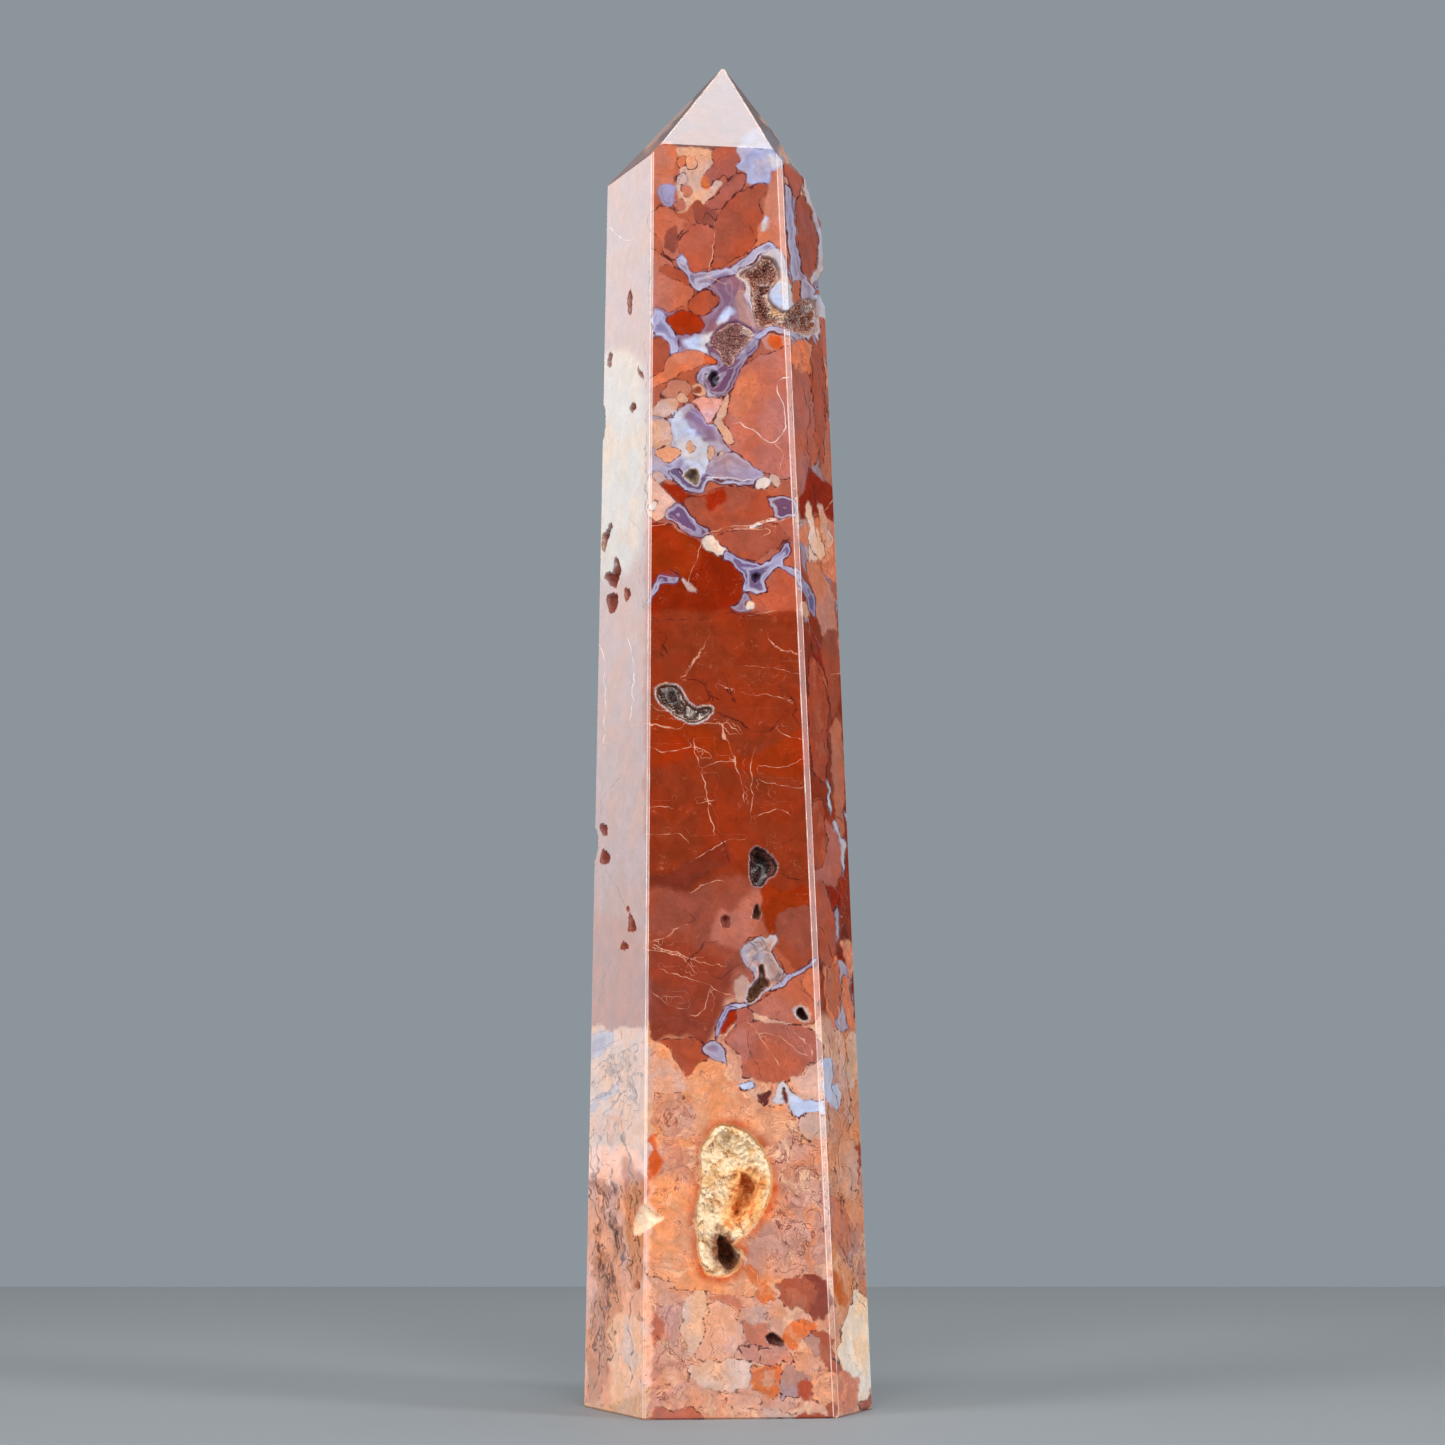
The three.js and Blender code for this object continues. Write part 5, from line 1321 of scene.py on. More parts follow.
def ramp(tree, value, low, high, start=0.0, end=1.0):
    inputs = {"Value": value, "From Min": low, "From Max": high, "To Min": start, "To Max": end}
    made = add(tree, "ShaderNodeMapRange", inputs, interpolation_type="SMOOTHSTEP")
    return made.outputs["Result"]


def blendValue(tree, amount, first, second):
    return add(tree, "ShaderNodeMix", {0: amount, 2: first, 3: second}).outputs[0]


def blendColor(tree, amount, first, second):
    return add(tree, "ShaderNodeMix", {0: amount, 6: first, 7: second}, data_type="RGBA").outputs[2]


def srgb(color):
    return (*toLinear(color), 1.0)


def stoneTone(name):
    return (*stoneColors[name], 1.0)


def colorScale(tree, value, stops, interpolation="LINEAR"):
    scale = add(tree, "ShaderNodeValToRGB", {0: value})
    scale.color_ramp.interpolation = interpolation
    elements = scale.color_ramp.elements
    elements.remove(elements[1])
    for i, (spot, color) in enumerate(stops):
        stop = elements.new(spot) if i else elements[0]
        stop.position, stop.color = spot, color
    return scale.outputs["Color"]


def noise(tree, place, perMm, detail=2.0, distortion=0.0, output="Fac"):
    inputs = {"Vector": place, "Scale": perMm, "Detail": detail, "Distortion": distortion}
    return add(tree, "ShaderNodeTexNoise", inputs).outputs[output]


def newGroup(name, kind, ins, outs):
    # A node group with its named sockets.
    group = bpy.data.node_groups.new(name, kind)
    for side, sockets in (("INPUT", ins), ("OUTPUT", outs)):
        for label, value in sockets.items():
            group.interface.new_socket(label, in_out=side, socket_type="NodeSocket" + value)
    return group, group.nodes.new("NodeGroupInput").outputs, group.nodes.new("NodeGroupOutput").inputs


def useGroup(tree, group, inputs):
    return add(tree, "ShaderNodeGroup", inputs, node_tree=group).outputs


def scaled(tree, vector, amount):
    return vectorCalc(tree, "SCALE", {0: vector, "Scale": amount})[0]


def stretched(tree, vector, amounts):
    return vectorCalc(tree, "MULTIPLY", {0: vector, 1: amounts})[0]


def inMillimetres(tree):
    return scaled(tree, add(tree, "ShaderNodeTexCoord").outputs["Object"], 1 / mm)


def shifted(tree, place, perMm, reach, detail=2.0):
    # The place, pushed about by noise.
    push = noise(tree, place, perMm, detail, output="Color")
    push = vectorCalc(tree, "SUBTRACT", {0: push, 1: (0.5, 0.5, 0.5)})[0]
    return vectorCalc(tree, "ADD", {0: place, 1: scaled(tree, push, reach)})[0]


def ridges(tree, place, perMm, width, detail=2.0):
    # Thin wandering lines, 1 on the line.
    value = noise(tree, place, perMm, detail)
    away = calc(tree, "ABSOLUTE", calc(tree, "SUBTRACT", value, 0.5))
    return ramp(tree, away, 0.0, width, 1.0, 0.0)


stoneSockets = {"Color": "Color", "Layering": "Float", "Grain": "Float"}
# The hidden faces: heights in mm, clasts by number per mm, and stones from the foot up
wild = {
    "jasperFrom": 58.0, "jasperTo": 142.0, "ragged": 16.0, "smallFrom": 0.66,
    "large": (0.075, (
        ("peach", "pinkMauve", "peachPink", "mauve", "peach", "pinkCream", "redPink", "mauvePale"),
        ("jasper", "jasperBrown", "jasper", "jasperOrange", "jasperBrown", "pinkishRed"),
        ("brick", "salmonRed", "rust", "lavenderGrey", "brickDark", "brickPink", "orangeFan"),
    )),
    "small": (0.21, (
        ("peachPale", "mauvePebble", "orange", "pinkMauve", "creamPink", "redPink", "peach"),
        ("jasperBrown", "maroonBrown", "jasper", "jasper", "jasperBrown", "pinkishRed"),
        ("cream", "rust", "orangeSoft", "maroon", "brick", "tan", "whiteStone"),
    )),
    "veinsFrom": 118.0, "veinsFully": 165.0, "veinWidth": 2.3, "veinStops": (
        (0.0, "whiteBlue"), (0.25, "lavender"), (0.5, "lavenderPale"), (0.72, "lavender"),
        (0.84, "purpleDark"), (0.93, "whiteBlue"), (1.0, "blueRim"),
    ),
    "seam": (96, 44, 42),
}


def brecciaGroup():
    # The broken stone of the faces away from the camera: red above, jasper in the middle, peach below.
    group, given, made = newGroup("wild breccia", "ShaderNodeTree", {"Place": "Vector"}, stoneSockets)
    place = given["Place"]
    bent = shifted(group, shifted(group, place, 0.10, 16.0, 3.0), 0.5, 1.6)

    def clastLayer(perMm, names):
        net = {"Vector": bent, "Scale": perMm}
        clasts = add(group, "ShaderNodeTexVoronoi", net)
        edge = add(group, "ShaderNodeTexVoronoi", net, feature="DISTANCE_TO_EDGE").outputs["Distance"]
        edge = calc(group, "DIVIDE", edge, perMm)
        pick = add(group, "ShaderNodeSeparateColor", {0: clasts.outputs["Color"]}).outputs
        middle = splitAxes(group, clasts.outputs["Position"])["Z"]
        height = calc(group, "MULTIPLY_ADD", calc(group, "SUBTRACT", pick[1], 0.5), wild["ragged"], middle)
        colors = []
        for choice in names:
            stops = [(i / len(choice), stoneTone(name)) for i, name in enumerate(choice)]
            colors.append(colorScale(group, pick[0], stops, "CONSTANT"))
        for color, level in zip(colors[1:], (wild["jasperFrom"], wild["jasperTo"])):
            colors[0] = blendColor(group, calc(group, "GREATER_THAN", height, level), colors[0], color)
        return colors[0], edge, pick[2], height

    color, edge, pick, height = clastLayer(*wild["large"])
    small, smallEdge = clastLayer(*wild["small"])[:2]
    inSmall = calc(group, "GREATER_THAN", pick, wild["smallFrom"])
    color = blendColor(group, inSmall, color, small)
    seamEdge = blendValue(group, inSmall, edge, calc(group, "MINIMUM", edge, smallEdge))
    above = calc(group, "GREATER_THAN", height, wild["jasperFrom"])
    isJasper = times(group, above, calc(group, "LESS_THAN", height, wild["jasperTo"]))
    veins = ramp(group, noise(group, place, 0.06), 0.40, 0.68, 0.0, wild["veinWidth"])
    level = splitAxes(group, bent)["Z"]
    width = times(group, veins, ramp(group, level, wild["veinsFrom"], wild["veinsFully"]))
    inner = calc(group, "DIVIDE", edge, calc(group, "MAXIMUM", width, 0.02))
    stripes = colorScale(group, inner, [(spot, stoneTone(name)) for spot, name in wild["veinStops"]])
    inVein = ramp(group, inner, 0.97, 1.03, 1.0, 0.0)
    color = blendColor(group, inVein, color, stripes)
    patchy = ramp(group, noise(group, place, 0.3), 0.38, 0.6, 0.2, 1.0)
    calm = calc(group, "MULTIPLY_ADD", isJasper, -0.75, 1.0)
    outside = calc(group, "SUBTRACT", 1.0, inVein)
    seam = times(group, ramp(group, seamEdge, 0.03, 0.24, 0.9, 0.0), patchy, calm, outside)
    color = blendColor(group, seam, color, srgb(wild["seam"]))
    group.links.new(color, made["Color"])
    group.links.new(isJasper, made["Layering"])
    group.links.new(ramp(group, height, 50, 60, 0.8, times(group, outside, 0.25)), made["Grain"])
    return group


fineMarks = {
    "warm": (1.10, 0.91, 0.72), "dull": (0.94, 1.01, 1.12),
    # how many veils to a mm, where each starts and is full, its strength and its colour
    "veils": (
        (0.20, 0.54, 0.64, 0.55, (243, 198, 160)), (0.27, 0.55, 0.66, 0.55, (184, 116, 96)),
        (0.15, 0.56, 0.68, 0.50, (230, 132, 76)),
    ),
    "grainsPerMm": 0.8, "gap": (146, 82, 68),
    # how many wisps to a mm, their width and how much more of them grainy stone has
    "wisps": ((0.17, 0.016, 0.85), (0.42, 0.020, 0.55)), "wisp": (118, 52, 46),
    "layers": (0.42, 0.42, 1.5), "hair": (226, 132, 96), "speck": (84, 34, 28),
}


def stoneDetailGroup():
    # Clouds, wisps, hairline cracks, grains and specks over any stone colour.
    group, given, made = newGroup(
        "stone detail", "ShaderNodeTree", {"Place": "Vector", **stoneSockets}, {"Color": "Color"})
    place, grain, layering = given["Place"], given["Grain"], given["Layering"]
    bent = shifted(group, place, 0.22, 6.0, 3.0)
    warm = stretched(group, given["Color"], fineMarks["warm"])
    dull = stretched(group, given["Color"], fineMarks["dull"])
    cloud = noise(group, bent, 0.13, 3.0)
    color = blendColor(group, ramp(group, cloud, 0.36, 0.62), warm, dull)

    swirl = shifted(group, shifted(group, place, 0.16, 11.0, 3.0), 0.6, 2.6)
    marbled = ramp(group, grain, 0.3, 0.75, 0.0, 1.0)
    for perMm, low, high, amount, tone in fineMarks["veils"]:
        veil = noise(group, scaled(group, swirl, perMm / 0.2), 0.2, 3.0, 0.6)
        veil = times(group, ramp(group, veil, low, high, 0.0, amount), marbled)
        color = blendColor(group, veil, color, srgb(tone))

    broad = noise(group, bent, 0.34, 4.0)
    lift = ramp(group, broad, 0.28, 0.72, 0.84, 1.14)
    mottle = calc(group, "SUBTRACT", noise(group, place, 1.7, 4.0), 0.5)
    lift = calc(group, "MULTIPLY_ADD", mottle, 0.28, lift)
    net = {"Vector": swirl, "Scale": fineMarks["grainsPerMm"]}
    grains = add(group, "ShaderNodeTexVoronoi", net)
    shade = add(group, "ShaderNodeSeparateColor", {0: grains.outputs["Color"]}).outputs[0]
    shade = times(group, calc(group, "SUBTRACT", shade, 0.5), grain)
    lift = calc(group, "MULTIPLY_ADD", shade, 0.26, lift)
    color = scaled(group, color, lift)

    where = ramp(group, noise(group, place, 0.16), 0.44, 0.58)
    gap = add(group, "ShaderNodeTexVoronoi", net, feature="DISTANCE_TO_EDGE").outputs["Distance"]
    gap = ramp(group, gap, 0.0, 0.09, 0.7, 0.0)
    gap = times(group, gap, where, ramp(group, grain, 0.5, 0.95, 0.0, 0.6))
    color = blendColor(group, gap, color, srgb(fineMarks["gap"]))
    for perMm, width, strength in fineMarks["wisps"]:
        wisps = ridges(group, swirl, perMm, width, 4.0)
        grainy = calc(group, "MULTIPLY_ADD", grain, strength, 0.10)
        wisps = times(group, wisps, ramp(group, broad, 0.44, 0.58), grainy)
        color = blendColor(group, wisps, color, srgb(fineMarks["wisp"]))

    hairs = ridges(group, stretched(group, swirl, fineMarks["layers"]), 0.55, 0.016)
    rare = ramp(group, noise(group, place, 0.3), 0.54, 0.66)
    color = blendColor(group, times(group, hairs, rare, layering, 0.3), color, srgb(fineMarks["hair"]))

    specks = ramp(group, noise(group, place, 1.3, 4.0), 0.71, 0.76, 0.0, 0.7)
    color = blendColor(group, specks, color, srgb(fineMarks["speck"]))
    group.links.new(color, made["Color"])
    return group


breccia = brecciaGroup()
stoneDetail = stoneDetailGroup()


def newMaterial(name):
    material = bpy.data.materials.new(name)
    material.use_nodes = True
    material.node_tree.nodes.clear()
    return material, material.node_tree


def addSurface(tree, inputs, kind="ShaderNodeBsdfPrincipled"):
    shader = add(tree, kind, inputs)
    add(tree, "ShaderNodeOutputMaterial", {"Surface": shader.outputs[0]})


def bumps(tree, height, distance, strength):
    inputs = {"Height": height, "Distance": distance, "Strength": strength}
    return add(tree, "ShaderNodeBump", inputs).outputs[0]


def attribute(tree, name):
    return add(tree, "ShaderNodeAttribute", attribute_name=name).outputs


def polishedEdges(tree, place):
    # 1 on the thin lines where polished faces meet, worked out from the faces' own planes: the mask of the
    # painted edge highlight.
    planes = allPlanes()
    gaps = {}

    def gap(name):
        if name not in gaps:
            normal, offset = planes[name]
            along = vectorCalc(tree, "DOT_PRODUCT", {0: place, 1: tuple(normal)})["Value"]
            gaps[name] = calc(tree, "ABSOLUTE", calc(tree, "SUBTRACT", along, offset))
        return gaps[name]

    pairs = [
        ("front", "bevel front", 0.075), ("right", "bevel front", 0.075), ("left", "bevel left", 0.075),
        ("front", "bevel left", 0.035),
    ]
    for i, name in enumerate(sideNames):
        follow = sideNames[(i + 1) % len(sideNames)]
        pairs.append(("crown " + name, "crown " + follow, tower["ridgeBevel"] * 0.8))
        if name not in ("front", "left"):
            pairs.append((name, follow, tower["sideBevel"][name] * 0.6))
    lines = 0.0
    for first, second, width in pairs:
        total = calc(tree, "ADD", gap(first), gap(second))
        lines = calc(tree, "MAXIMUM", lines, ramp(tree, total, width * 0.45, width, 1.0, 0.0))
    return lines


# The marks of the agate: how far its bands turn, in radians to a mm, how far noise moves them, the least
# width of a seam and how much a strong one adds, both in mm, and the colours
polish = {
    "bandTurn": 3.4, "bandDrift": 11.0, "bandDark": (96, 82, 132), "bandPale": (196, 196, 222),
    "bandRim": (214, 206, 224), "flutter": 0.4, "seamWidth": (0.06, 0.17), "seam": (84, 32, 34),
    # edge is the colour of the painted highlight along the polished edges
    "darkStreak": (64, 22, 20), "edge": (252, 214, 200), "pitRoughness": 0.55,
    # the tones between which a streak turns peach, white or grey
    "otherStreaks": (
        (0.3, 0.7, (232, 168, 140)), (1.05, 1.4, (244, 230, 226)), (-0.4, -0.8, (112, 96, 106)),
    ),
}


def polishedAgate():
    material, tree = newMaterial("polished agate")
    place = inMillimetres(tree)
    hidden = useGroup(tree, breccia, {"Place": place})
    painted = attribute(tree, "paint")
    texture = splitAxes(tree, attribute(tree, "texture")["Vector"])
    mask = painted["Alpha"]
    color = useGroup(tree, stoneDetail, {
        "Place": place, "Color": blendColor(tree, mask, hidden["Color"], painted["Color"]),
        "Layering": blendValue(tree, mask, hidden["Layering"], texture["X"]),
        "Grain": blendValue(tree, mask, hidden["Grain"], texture["Y"]),
    })["Color"]

    # Chalcedony: soft blue and white bands that follow the wall of the crack
    banding = splitAxes(tree, attribute(tree, "bands")["Vector"])
    depth, amount = banding["X"], times(tree, banding["Y"], mask)
    drift = noise(tree, shifted(tree, place, 0.3, 3.0), 0.24, 2.0)
    turn = times(tree, depth, polish["bandTurn"])
    wave = calc(tree, "SINE", calc(tree, "MULTIPLY_ADD", drift, polish["bandDrift"], turn))
    inside = times(tree, ramp(tree, depth, 0.0, 0.15), amount)
    dark = times(tree, ramp(tree, wave, 0.0, -1.0), inside, 0.45)
    light = times(tree, ramp(tree, wave, 0.1, 1.0), inside, 0.5)
    rim = times(tree, ramp(tree, depth, 0.12, 0.26), ramp(tree, depth, 0.38, 0.52, 1.0, 0.0), amount, 0.4)
    for shown, name in ((dark, "bandDark"), (light, "bandPale"), (rim, "bandRim")):
        color = blendColor(tree, shown, color, srgb(polish[name]))

    # Dark seams round the patches, broken and uneven in width
    seams = splitAxes(tree, attribute(tree, "seams")["Vector"])
    flutter = noise(tree, place, 1.2, 3.0)
    flutter = calc(tree, "MULTIPLY_ADD", flutter, polish["flutter"], -polish["flutter"] / 2)
    least, more = polish["seamWidth"]
    width = calc(tree, "MULTIPLY_ADD", seams["Y"], more, least)
    line = calc(tree, "DIVIDE", calc(tree, "ADD", seams["X"], flutter), width)
    patchy = ramp(tree, noise(tree, place, 0.32), 0.34, 0.54, 0.3, 1.0)
    strong = ramp(tree, seams["Y"], 0.0, 0.7)
    line = times(tree, ramp(tree, line, 0.2, 1.0, 1.0, 0.0), strong, patchy, mask, 0.95)
    color = blendColor(tree, line, color, srgb(polish["seam"]))

    # Healed cracks and fine veins, with their tone in Y and their width in Z
    marks = splitAxes(tree, attribute(tree, "streaks")["Vector"])
    gap = calc(tree, "ADD", calc(tree, "ABSOLUTE", marks["X"]), times(tree, flutter, 0.25))
    gap = calc(tree, "DIVIDE", gap, calc(tree, "MAXIMUM", marks["Z"], 0.001))
    faint = ramp(tree, noise(tree, place, 0.5), 0.36, 0.6, 0.15, 1.0)
    tone = srgb(polish["darkStreak"])
    for low, high, other in polish["otherStreaks"]:
        tone = blendColor(tree, ramp(tree, marks["Y"], low, high), tone, srgb(other))
    streak = times(tree, ramp(tree, gap, 0.2, 0.8, 1.0, 0.0), faint, mask, 0.8)
    color = blendColor(tree, streak, color, tone)

    # Painted highlight: a pale line along the polished edges, where the light would catch their rounding,
    # patchy along its length
    edgeHighlight = ramp(tree, noise(tree, place, 0.3, 3.0), 0.35, 0.6, 0.45, 0.9)
    edgeHighlight = times(tree, polishedEdges(tree, place), edgeHighlight)
    color = blendColor(tree, edgeHighlight, color, srgb(polish["edge"]))

    # The polish is nearly a mirror, and the pits and hollows are dull and rough
    pit = texture["Z"]
    wear = ramp(tree, noise(tree, place, 0.08, 3.0), 0.35, 0.7, 0.05, 0.10)
    roughness = calc(tree, "MULTIPLY_ADD", pit, 0.16, 0.0012)
    height = times(tree, noise(tree, place, 2.6, 4.0), roughness)
    addSurface(tree, {
        "Base Color": color, "IOR": 1.54, "Normal": bumps(tree, height, 0.001, 0.6),
        "Roughness": blendValue(tree, pit, wear, polish["pitRoughness"]),
        "Specular IOR Level": ramp(tree, pit, 0.0, 1.0, 0.5, 0.12),
    })
    return material


# The quartz points: most of them in a square metre, and their lean either way in radians; the colour of the
# painted glints and how dark the painted shade between the grains is
quartz = {
    "density": 2.4e7, "sides": 6, "tip": 0.6, "lean": 0.6, "sizes": (0.6, 1.45),
    "glint": (236, 220, 212), "shade": 0.7,
}


def quartzMaterial(name, kind):
    # Sugary crystals, paler near the rim of the hollow and darker in its depth as painted shade, with tinted
    # spots, painted glints and painted shade between the grains.
    material, tree = newMaterial(name)
    place = inMillimetres(tree)
    deep = attribute(tree, "deep")["Fac"]
    broad = noise(tree, place, 0.5, 3.0)
    fine = noise(tree, place, 3.4)
    # Darker towards the depth of the hollow: painted shade
    level = calc(tree, "MULTIPLY_ADD", broad, 0.9, calc(tree, "ADD", deep, -0.45))
    color = blendColor(tree, ramp(tree, level, 0.25, 0.75), srgb(kind["pale"]), srgb(kind["dark"]))
    tint = attribute(tree, "tint")
    color = blendColor(tree, tint["Alpha"], color, tint["Color"])
    stain = ramp(tree, noise(tree, place, 0.33), 0.5, 0.66, 0.0, kind["stained"])
    color = blendColor(tree, stain, color, srgb(kind["stain"]))
    # Painted glints: pale flecks, more of them near the rim
    sparkle = ramp(tree, level, 0.2, 0.8, kind["sparkle"], kind["sparkle"] * 0.4)
    sparkle = times(tree, ramp(tree, fine, 0.54, 0.7), sparkle)
    color = blendColor(tree, sparkle, color, srgb(quartz["glint"]))
    # Painted shade between the grains
    between = srgb([quartz["shade"] * value for value in kind["dark"]])
    color = blendColor(tree, ramp(tree, fine, 0.46, 0.28, 0.0, 0.5), color, between)
    addSurface(tree, {
        "Base Color": color, "Roughness": ramp(tree, fine, 0.3, 0.7, *kind["gloss"]), "IOR": 1.55,
        "Normal": bumps(tree, fine, 0.0001, 0.5),
    })
    return material


# The pit tones are partly the ochre's own brown and partly painted shade of the deep pit
ochreTones = {
    "wall": ((236, 184, 124), (252, 226, 188)), "deep": ((222, 128, 56), (250, 194, 124)),
    "pit": ((78, 40, 26), (170, 104, 66)), "crumbs": ((158, 98, 54), (250, 226, 192)),
    "crack": (132, 66, 28),
}


def crumblyOchre():
    material, tree = newMaterial("crumbly ochre")
    place = inMillimetres(tree)
    tones = splitAxes(tree, attribute(tree, "tones")["Vector"])
    broad = noise(tree, place, 0.45, 4.0, 0.8)
    crumbs = noise(tree, place, 2.2, 4.0)
    patchy = ramp(tree, broad, 0.35, 0.65)
    ground = blendColor(tree, ramp(tree, broad, 0.34, 0.58), *(srgb(tone) for tone in ochreTones["wall"]))
    for axis, name in (("X", "deep"), ("Y", "pit")):
        dark, pale = (srgb(tone) for tone in ochreTones[name])
        ground = blendColor(tree, tones[axis], ground, blendColor(tree, patchy, dark, pale))
    low, high = (srgb(tone) for tone in ochreTones["crumbs"])
    ground = blendColor(tree, ramp(tree, crumbs, 0.42, 0.30, 0.0, 0.5), ground, low)
    ground = blendColor(tree, ramp(tree, crumbs, 0.58, 0.74, 0.0, 0.6), ground, high)
    cracks = ridges(tree, shifted(tree, place, 0.4, 3.0), 0.34, 0.03, 3.0)
    cracks = times(tree, cracks, ramp(tree, broad, 0.62, 0.44, 0.1, 0.7))
    ground = blendColor(tree, cracks, ground, srgb(ochreTones["crack"]))
    height = calc(tree, "MULTIPLY_ADD", cracks, -0.8, crumbs)
    addSurface(tree, {
        "Base Color": ground, "Roughness": 0.75, "Normal": bumps(tree, height, 0.0003, 0.6),
    })
    return material


agate = polishedAgate()

print("tower mesh")
netPoints, netTriangles = meshTower()
netOutward = roundNormals(netPoints)
wallPoints, netInside, hollowReach = cutHollows(netPoints, netOutward)
finalPoints = cutLosses(wallPoints)
stoneBody = meshObject("agate_stone", finalPoints, netTriangles, agate)
wasCut = np.linalg.norm(finalPoints - netPoints, axis=1) > 0.01
stoneBody.data.polygons.foreach_set("use_smooth", wasCut[netTriangles].any(1))
markTower(stoneBody.data, finalPoints, netPoints, netOutward, netInside)
print("  triangles", len(netTriangles))
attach(stoneBody, "root")
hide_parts("agate_obelisk")

print("crusts")
crustKinds = {
    "upper_druse": {
        "node": "upper_druse_crust", "slot": "quartz_druse", "hollows": ["upperDruse"],
        "thickness": 0.8, "lumps": 0.45, "crystal": (0.30, 0.55), "spacing": 0.36, "seed": 3,
        "pale": (206, 158, 138), "dark": (146, 88, 70), "stain": (156, 84, 56), "stained": 0.5,
        "sparkle": 0.75, "gloss": (0.25, 0.5), "spots": [
            ((763, 292), 7, (124, 58, 40)), ((778, 311), 10, (222, 172, 118)),
            ((793, 321), 6, (132, 62, 26)), ((811, 325), 5, (150, 80, 36)), ((806, 308), 6, (196, 172, 166)),
        ],
    },
    "purple_druse": {
        "node": "purple_druse_crust", "slot": "purple_quartz", "hollows": ["purpleDruse"],
        "thickness": 0.5, "lumps": 0.2, "crystal": (0.24, 0.42), "spacing": 0.3, "seed": 5,
        "pale": (190, 138, 130), "dark": (138, 82, 74), "stain": (118, 62, 66), "stained": 0.5,
        "sparkle": 0.6, "gloss": (0.3, 0.5), "spots": [((752, 330), 9, (206, 168, 150))],
    },
    "white_vug": {
        "node": "white_vug_crust", "slot": "quartz_druse", "hollows": ["whiteVug"],
        "thickness": 0.5, "lumps": 0.25, "crystal": (0.26, 0.5), "spacing": 0.32, "seed": 7,
        "pale": (196, 174, 160), "dark": (94, 58, 44), "stain": (72, 38, 26), "stained": 0.7,
        "sparkle": 0.6, "gloss": (0.2, 0.4), "spots": [
            ((672, 697), 7, (66, 36, 26)), ((690, 713), 5, (226, 208, 198)),
            ((702, 719), 5, (220, 200, 188)), ((664, 689), 4, (206, 186, 174)),
        ],
    },
    "smoky_druse": {
        "node": "smoky_druse_crust", "slot": "smoky_quartz", "hollows": ["smokyDruse"],
        "thickness": 0.5, "lumps": 0.2, "crystal": (0.28, 0.5), "spacing": 0.34, "seed": 11,
        "pale": (116, 58, 48), "dark": (44, 14, 10), "stain": (120, 40, 26), "stained": 0.3,
        "sparkle": 0.12, "gloss": (0.5, 0.7), "spots": [((756, 876), 9, (70, 34, 28))],
    },
    "grey_druse": {
        "node": "grey_druse_crust", "slot": "quartz_druse", "hollows": ["greyDruse"],
        "thickness": 0.45, "lumps": 0.2, "crystal": (0.24, 0.45), "spacing": 0.3, "seed": 13,
        "pale": (200, 156, 126), "dark": (148, 100, 66), "stain": (122, 78, 40), "stained": 0.6,
        "sparkle": 0.5, "gloss": (0.25, 0.5), "spots": [((760, 972), 8, (190, 176, 176))],
    },
}
ochreCrust = {
    "node": "ochre_crust", "slot": "ochre", "hollows": ["ochre", "ochreDeep", "ochrePit"],
    "thickness": 0.9, "lumps": 0.5, "crumb": 0.22,
    "deepWaves": ((2.4, 91, 5),), "deepFrom": (-12.0, 3.0),
    "pitWaves": ((1.3, 92, 5),), "pitFrom": (-11.0, 3.0),
}
rimStart, rimEnd = 0.5, 7.0
rootDepth = 0.15
growFrom, growFully = 1.5, 4.5
lumpWaves = ((1.6, 81, 1.0), (0.6, 82, 0.5))
crumbWaves = ((0.45, 83, 1.0), (0.22, 84, 0.5))


def splitTriangles(points, triangles):
    # Cuts every triangle in four, and gives the pairs of points that each new point lies between.
    edges = np.sort(triangles[:, [0, 1, 1, 2, 2, 0]].reshape(-1, 2), axis=1)
    pairs, place = np.unique(edges, axis=0, return_inverse=True)
    middle = place.reshape(-1, 3) + len(points)
    a, b, c = triangles.T
    ab, bc, ca = middle.T
    made = np.vstack([np.stack(part, 1) for part in (
        (a, ab, ca), (ab, b, bc), (ca, bc, c), (ab, bc, ca))])
    return pairs, made


def crustShell(kind):
    # A closed skin on the walls of a hollow: the front layer, its back in the stone, and the rim.
    reach = np.max([hollowReach[name] for name in kind["hollows"]], 0)
    chosen = netTriangles[(reach[netTriangles] > rimStart).all(1)]
    used, numbers = np.unique(chosen, return_inverse=True)
    triangles = numbers.reshape(-1, 3)
    wall, outward, reach = finalPoints[used], netOutward[used], reach[used]
    tones = np.stack([hollowReach[name][used] for name in kind["hollows"]], 1)
    pairs, triangles = splitTriangles(wall, triangles)
    wall, outward, reach, tones = (
        np.concatenate([values, (values[pairs[:, 0]] + values[pairs[:, 1]]) / 2])
        for values in (wall, outward, reach, tones))
    cover = easing(reach, rimStart, rimEnd)
    thickness = kind["thickness"] + ruffle(wall, lumpWaves) * kind["lumps"]
    if "crumb" in kind:
        thickness += ruffle(wall, crumbWaves) * kind["crumb"]
    rise = cover * thickness - rootDepth * (1 - cover)
    front = wall + outward * rise[:, None]
    back = wall - outward * (rootDepth * 2)
    count = len(front)
    edges = triangles[:, [0, 1, 1, 2, 2, 0]].reshape(-1, 2)
    known = {tuple(edge) for edge in edges.tolist()}
    sides = []
    for a, b in edges.tolist():
        if (b, a) not in known:
            sides += [(a, a + count, b + count), (a, b + count, b)]
    everything = np.vstack([triangles, triangles[:, ::-1] + count, np.array(sides)])
    grow = np.concatenate([easing(reach, growFrom, growFully), np.zeros(count)])
    return np.vstack([front, back]), everything, grow, np.vstack([tones, tones])


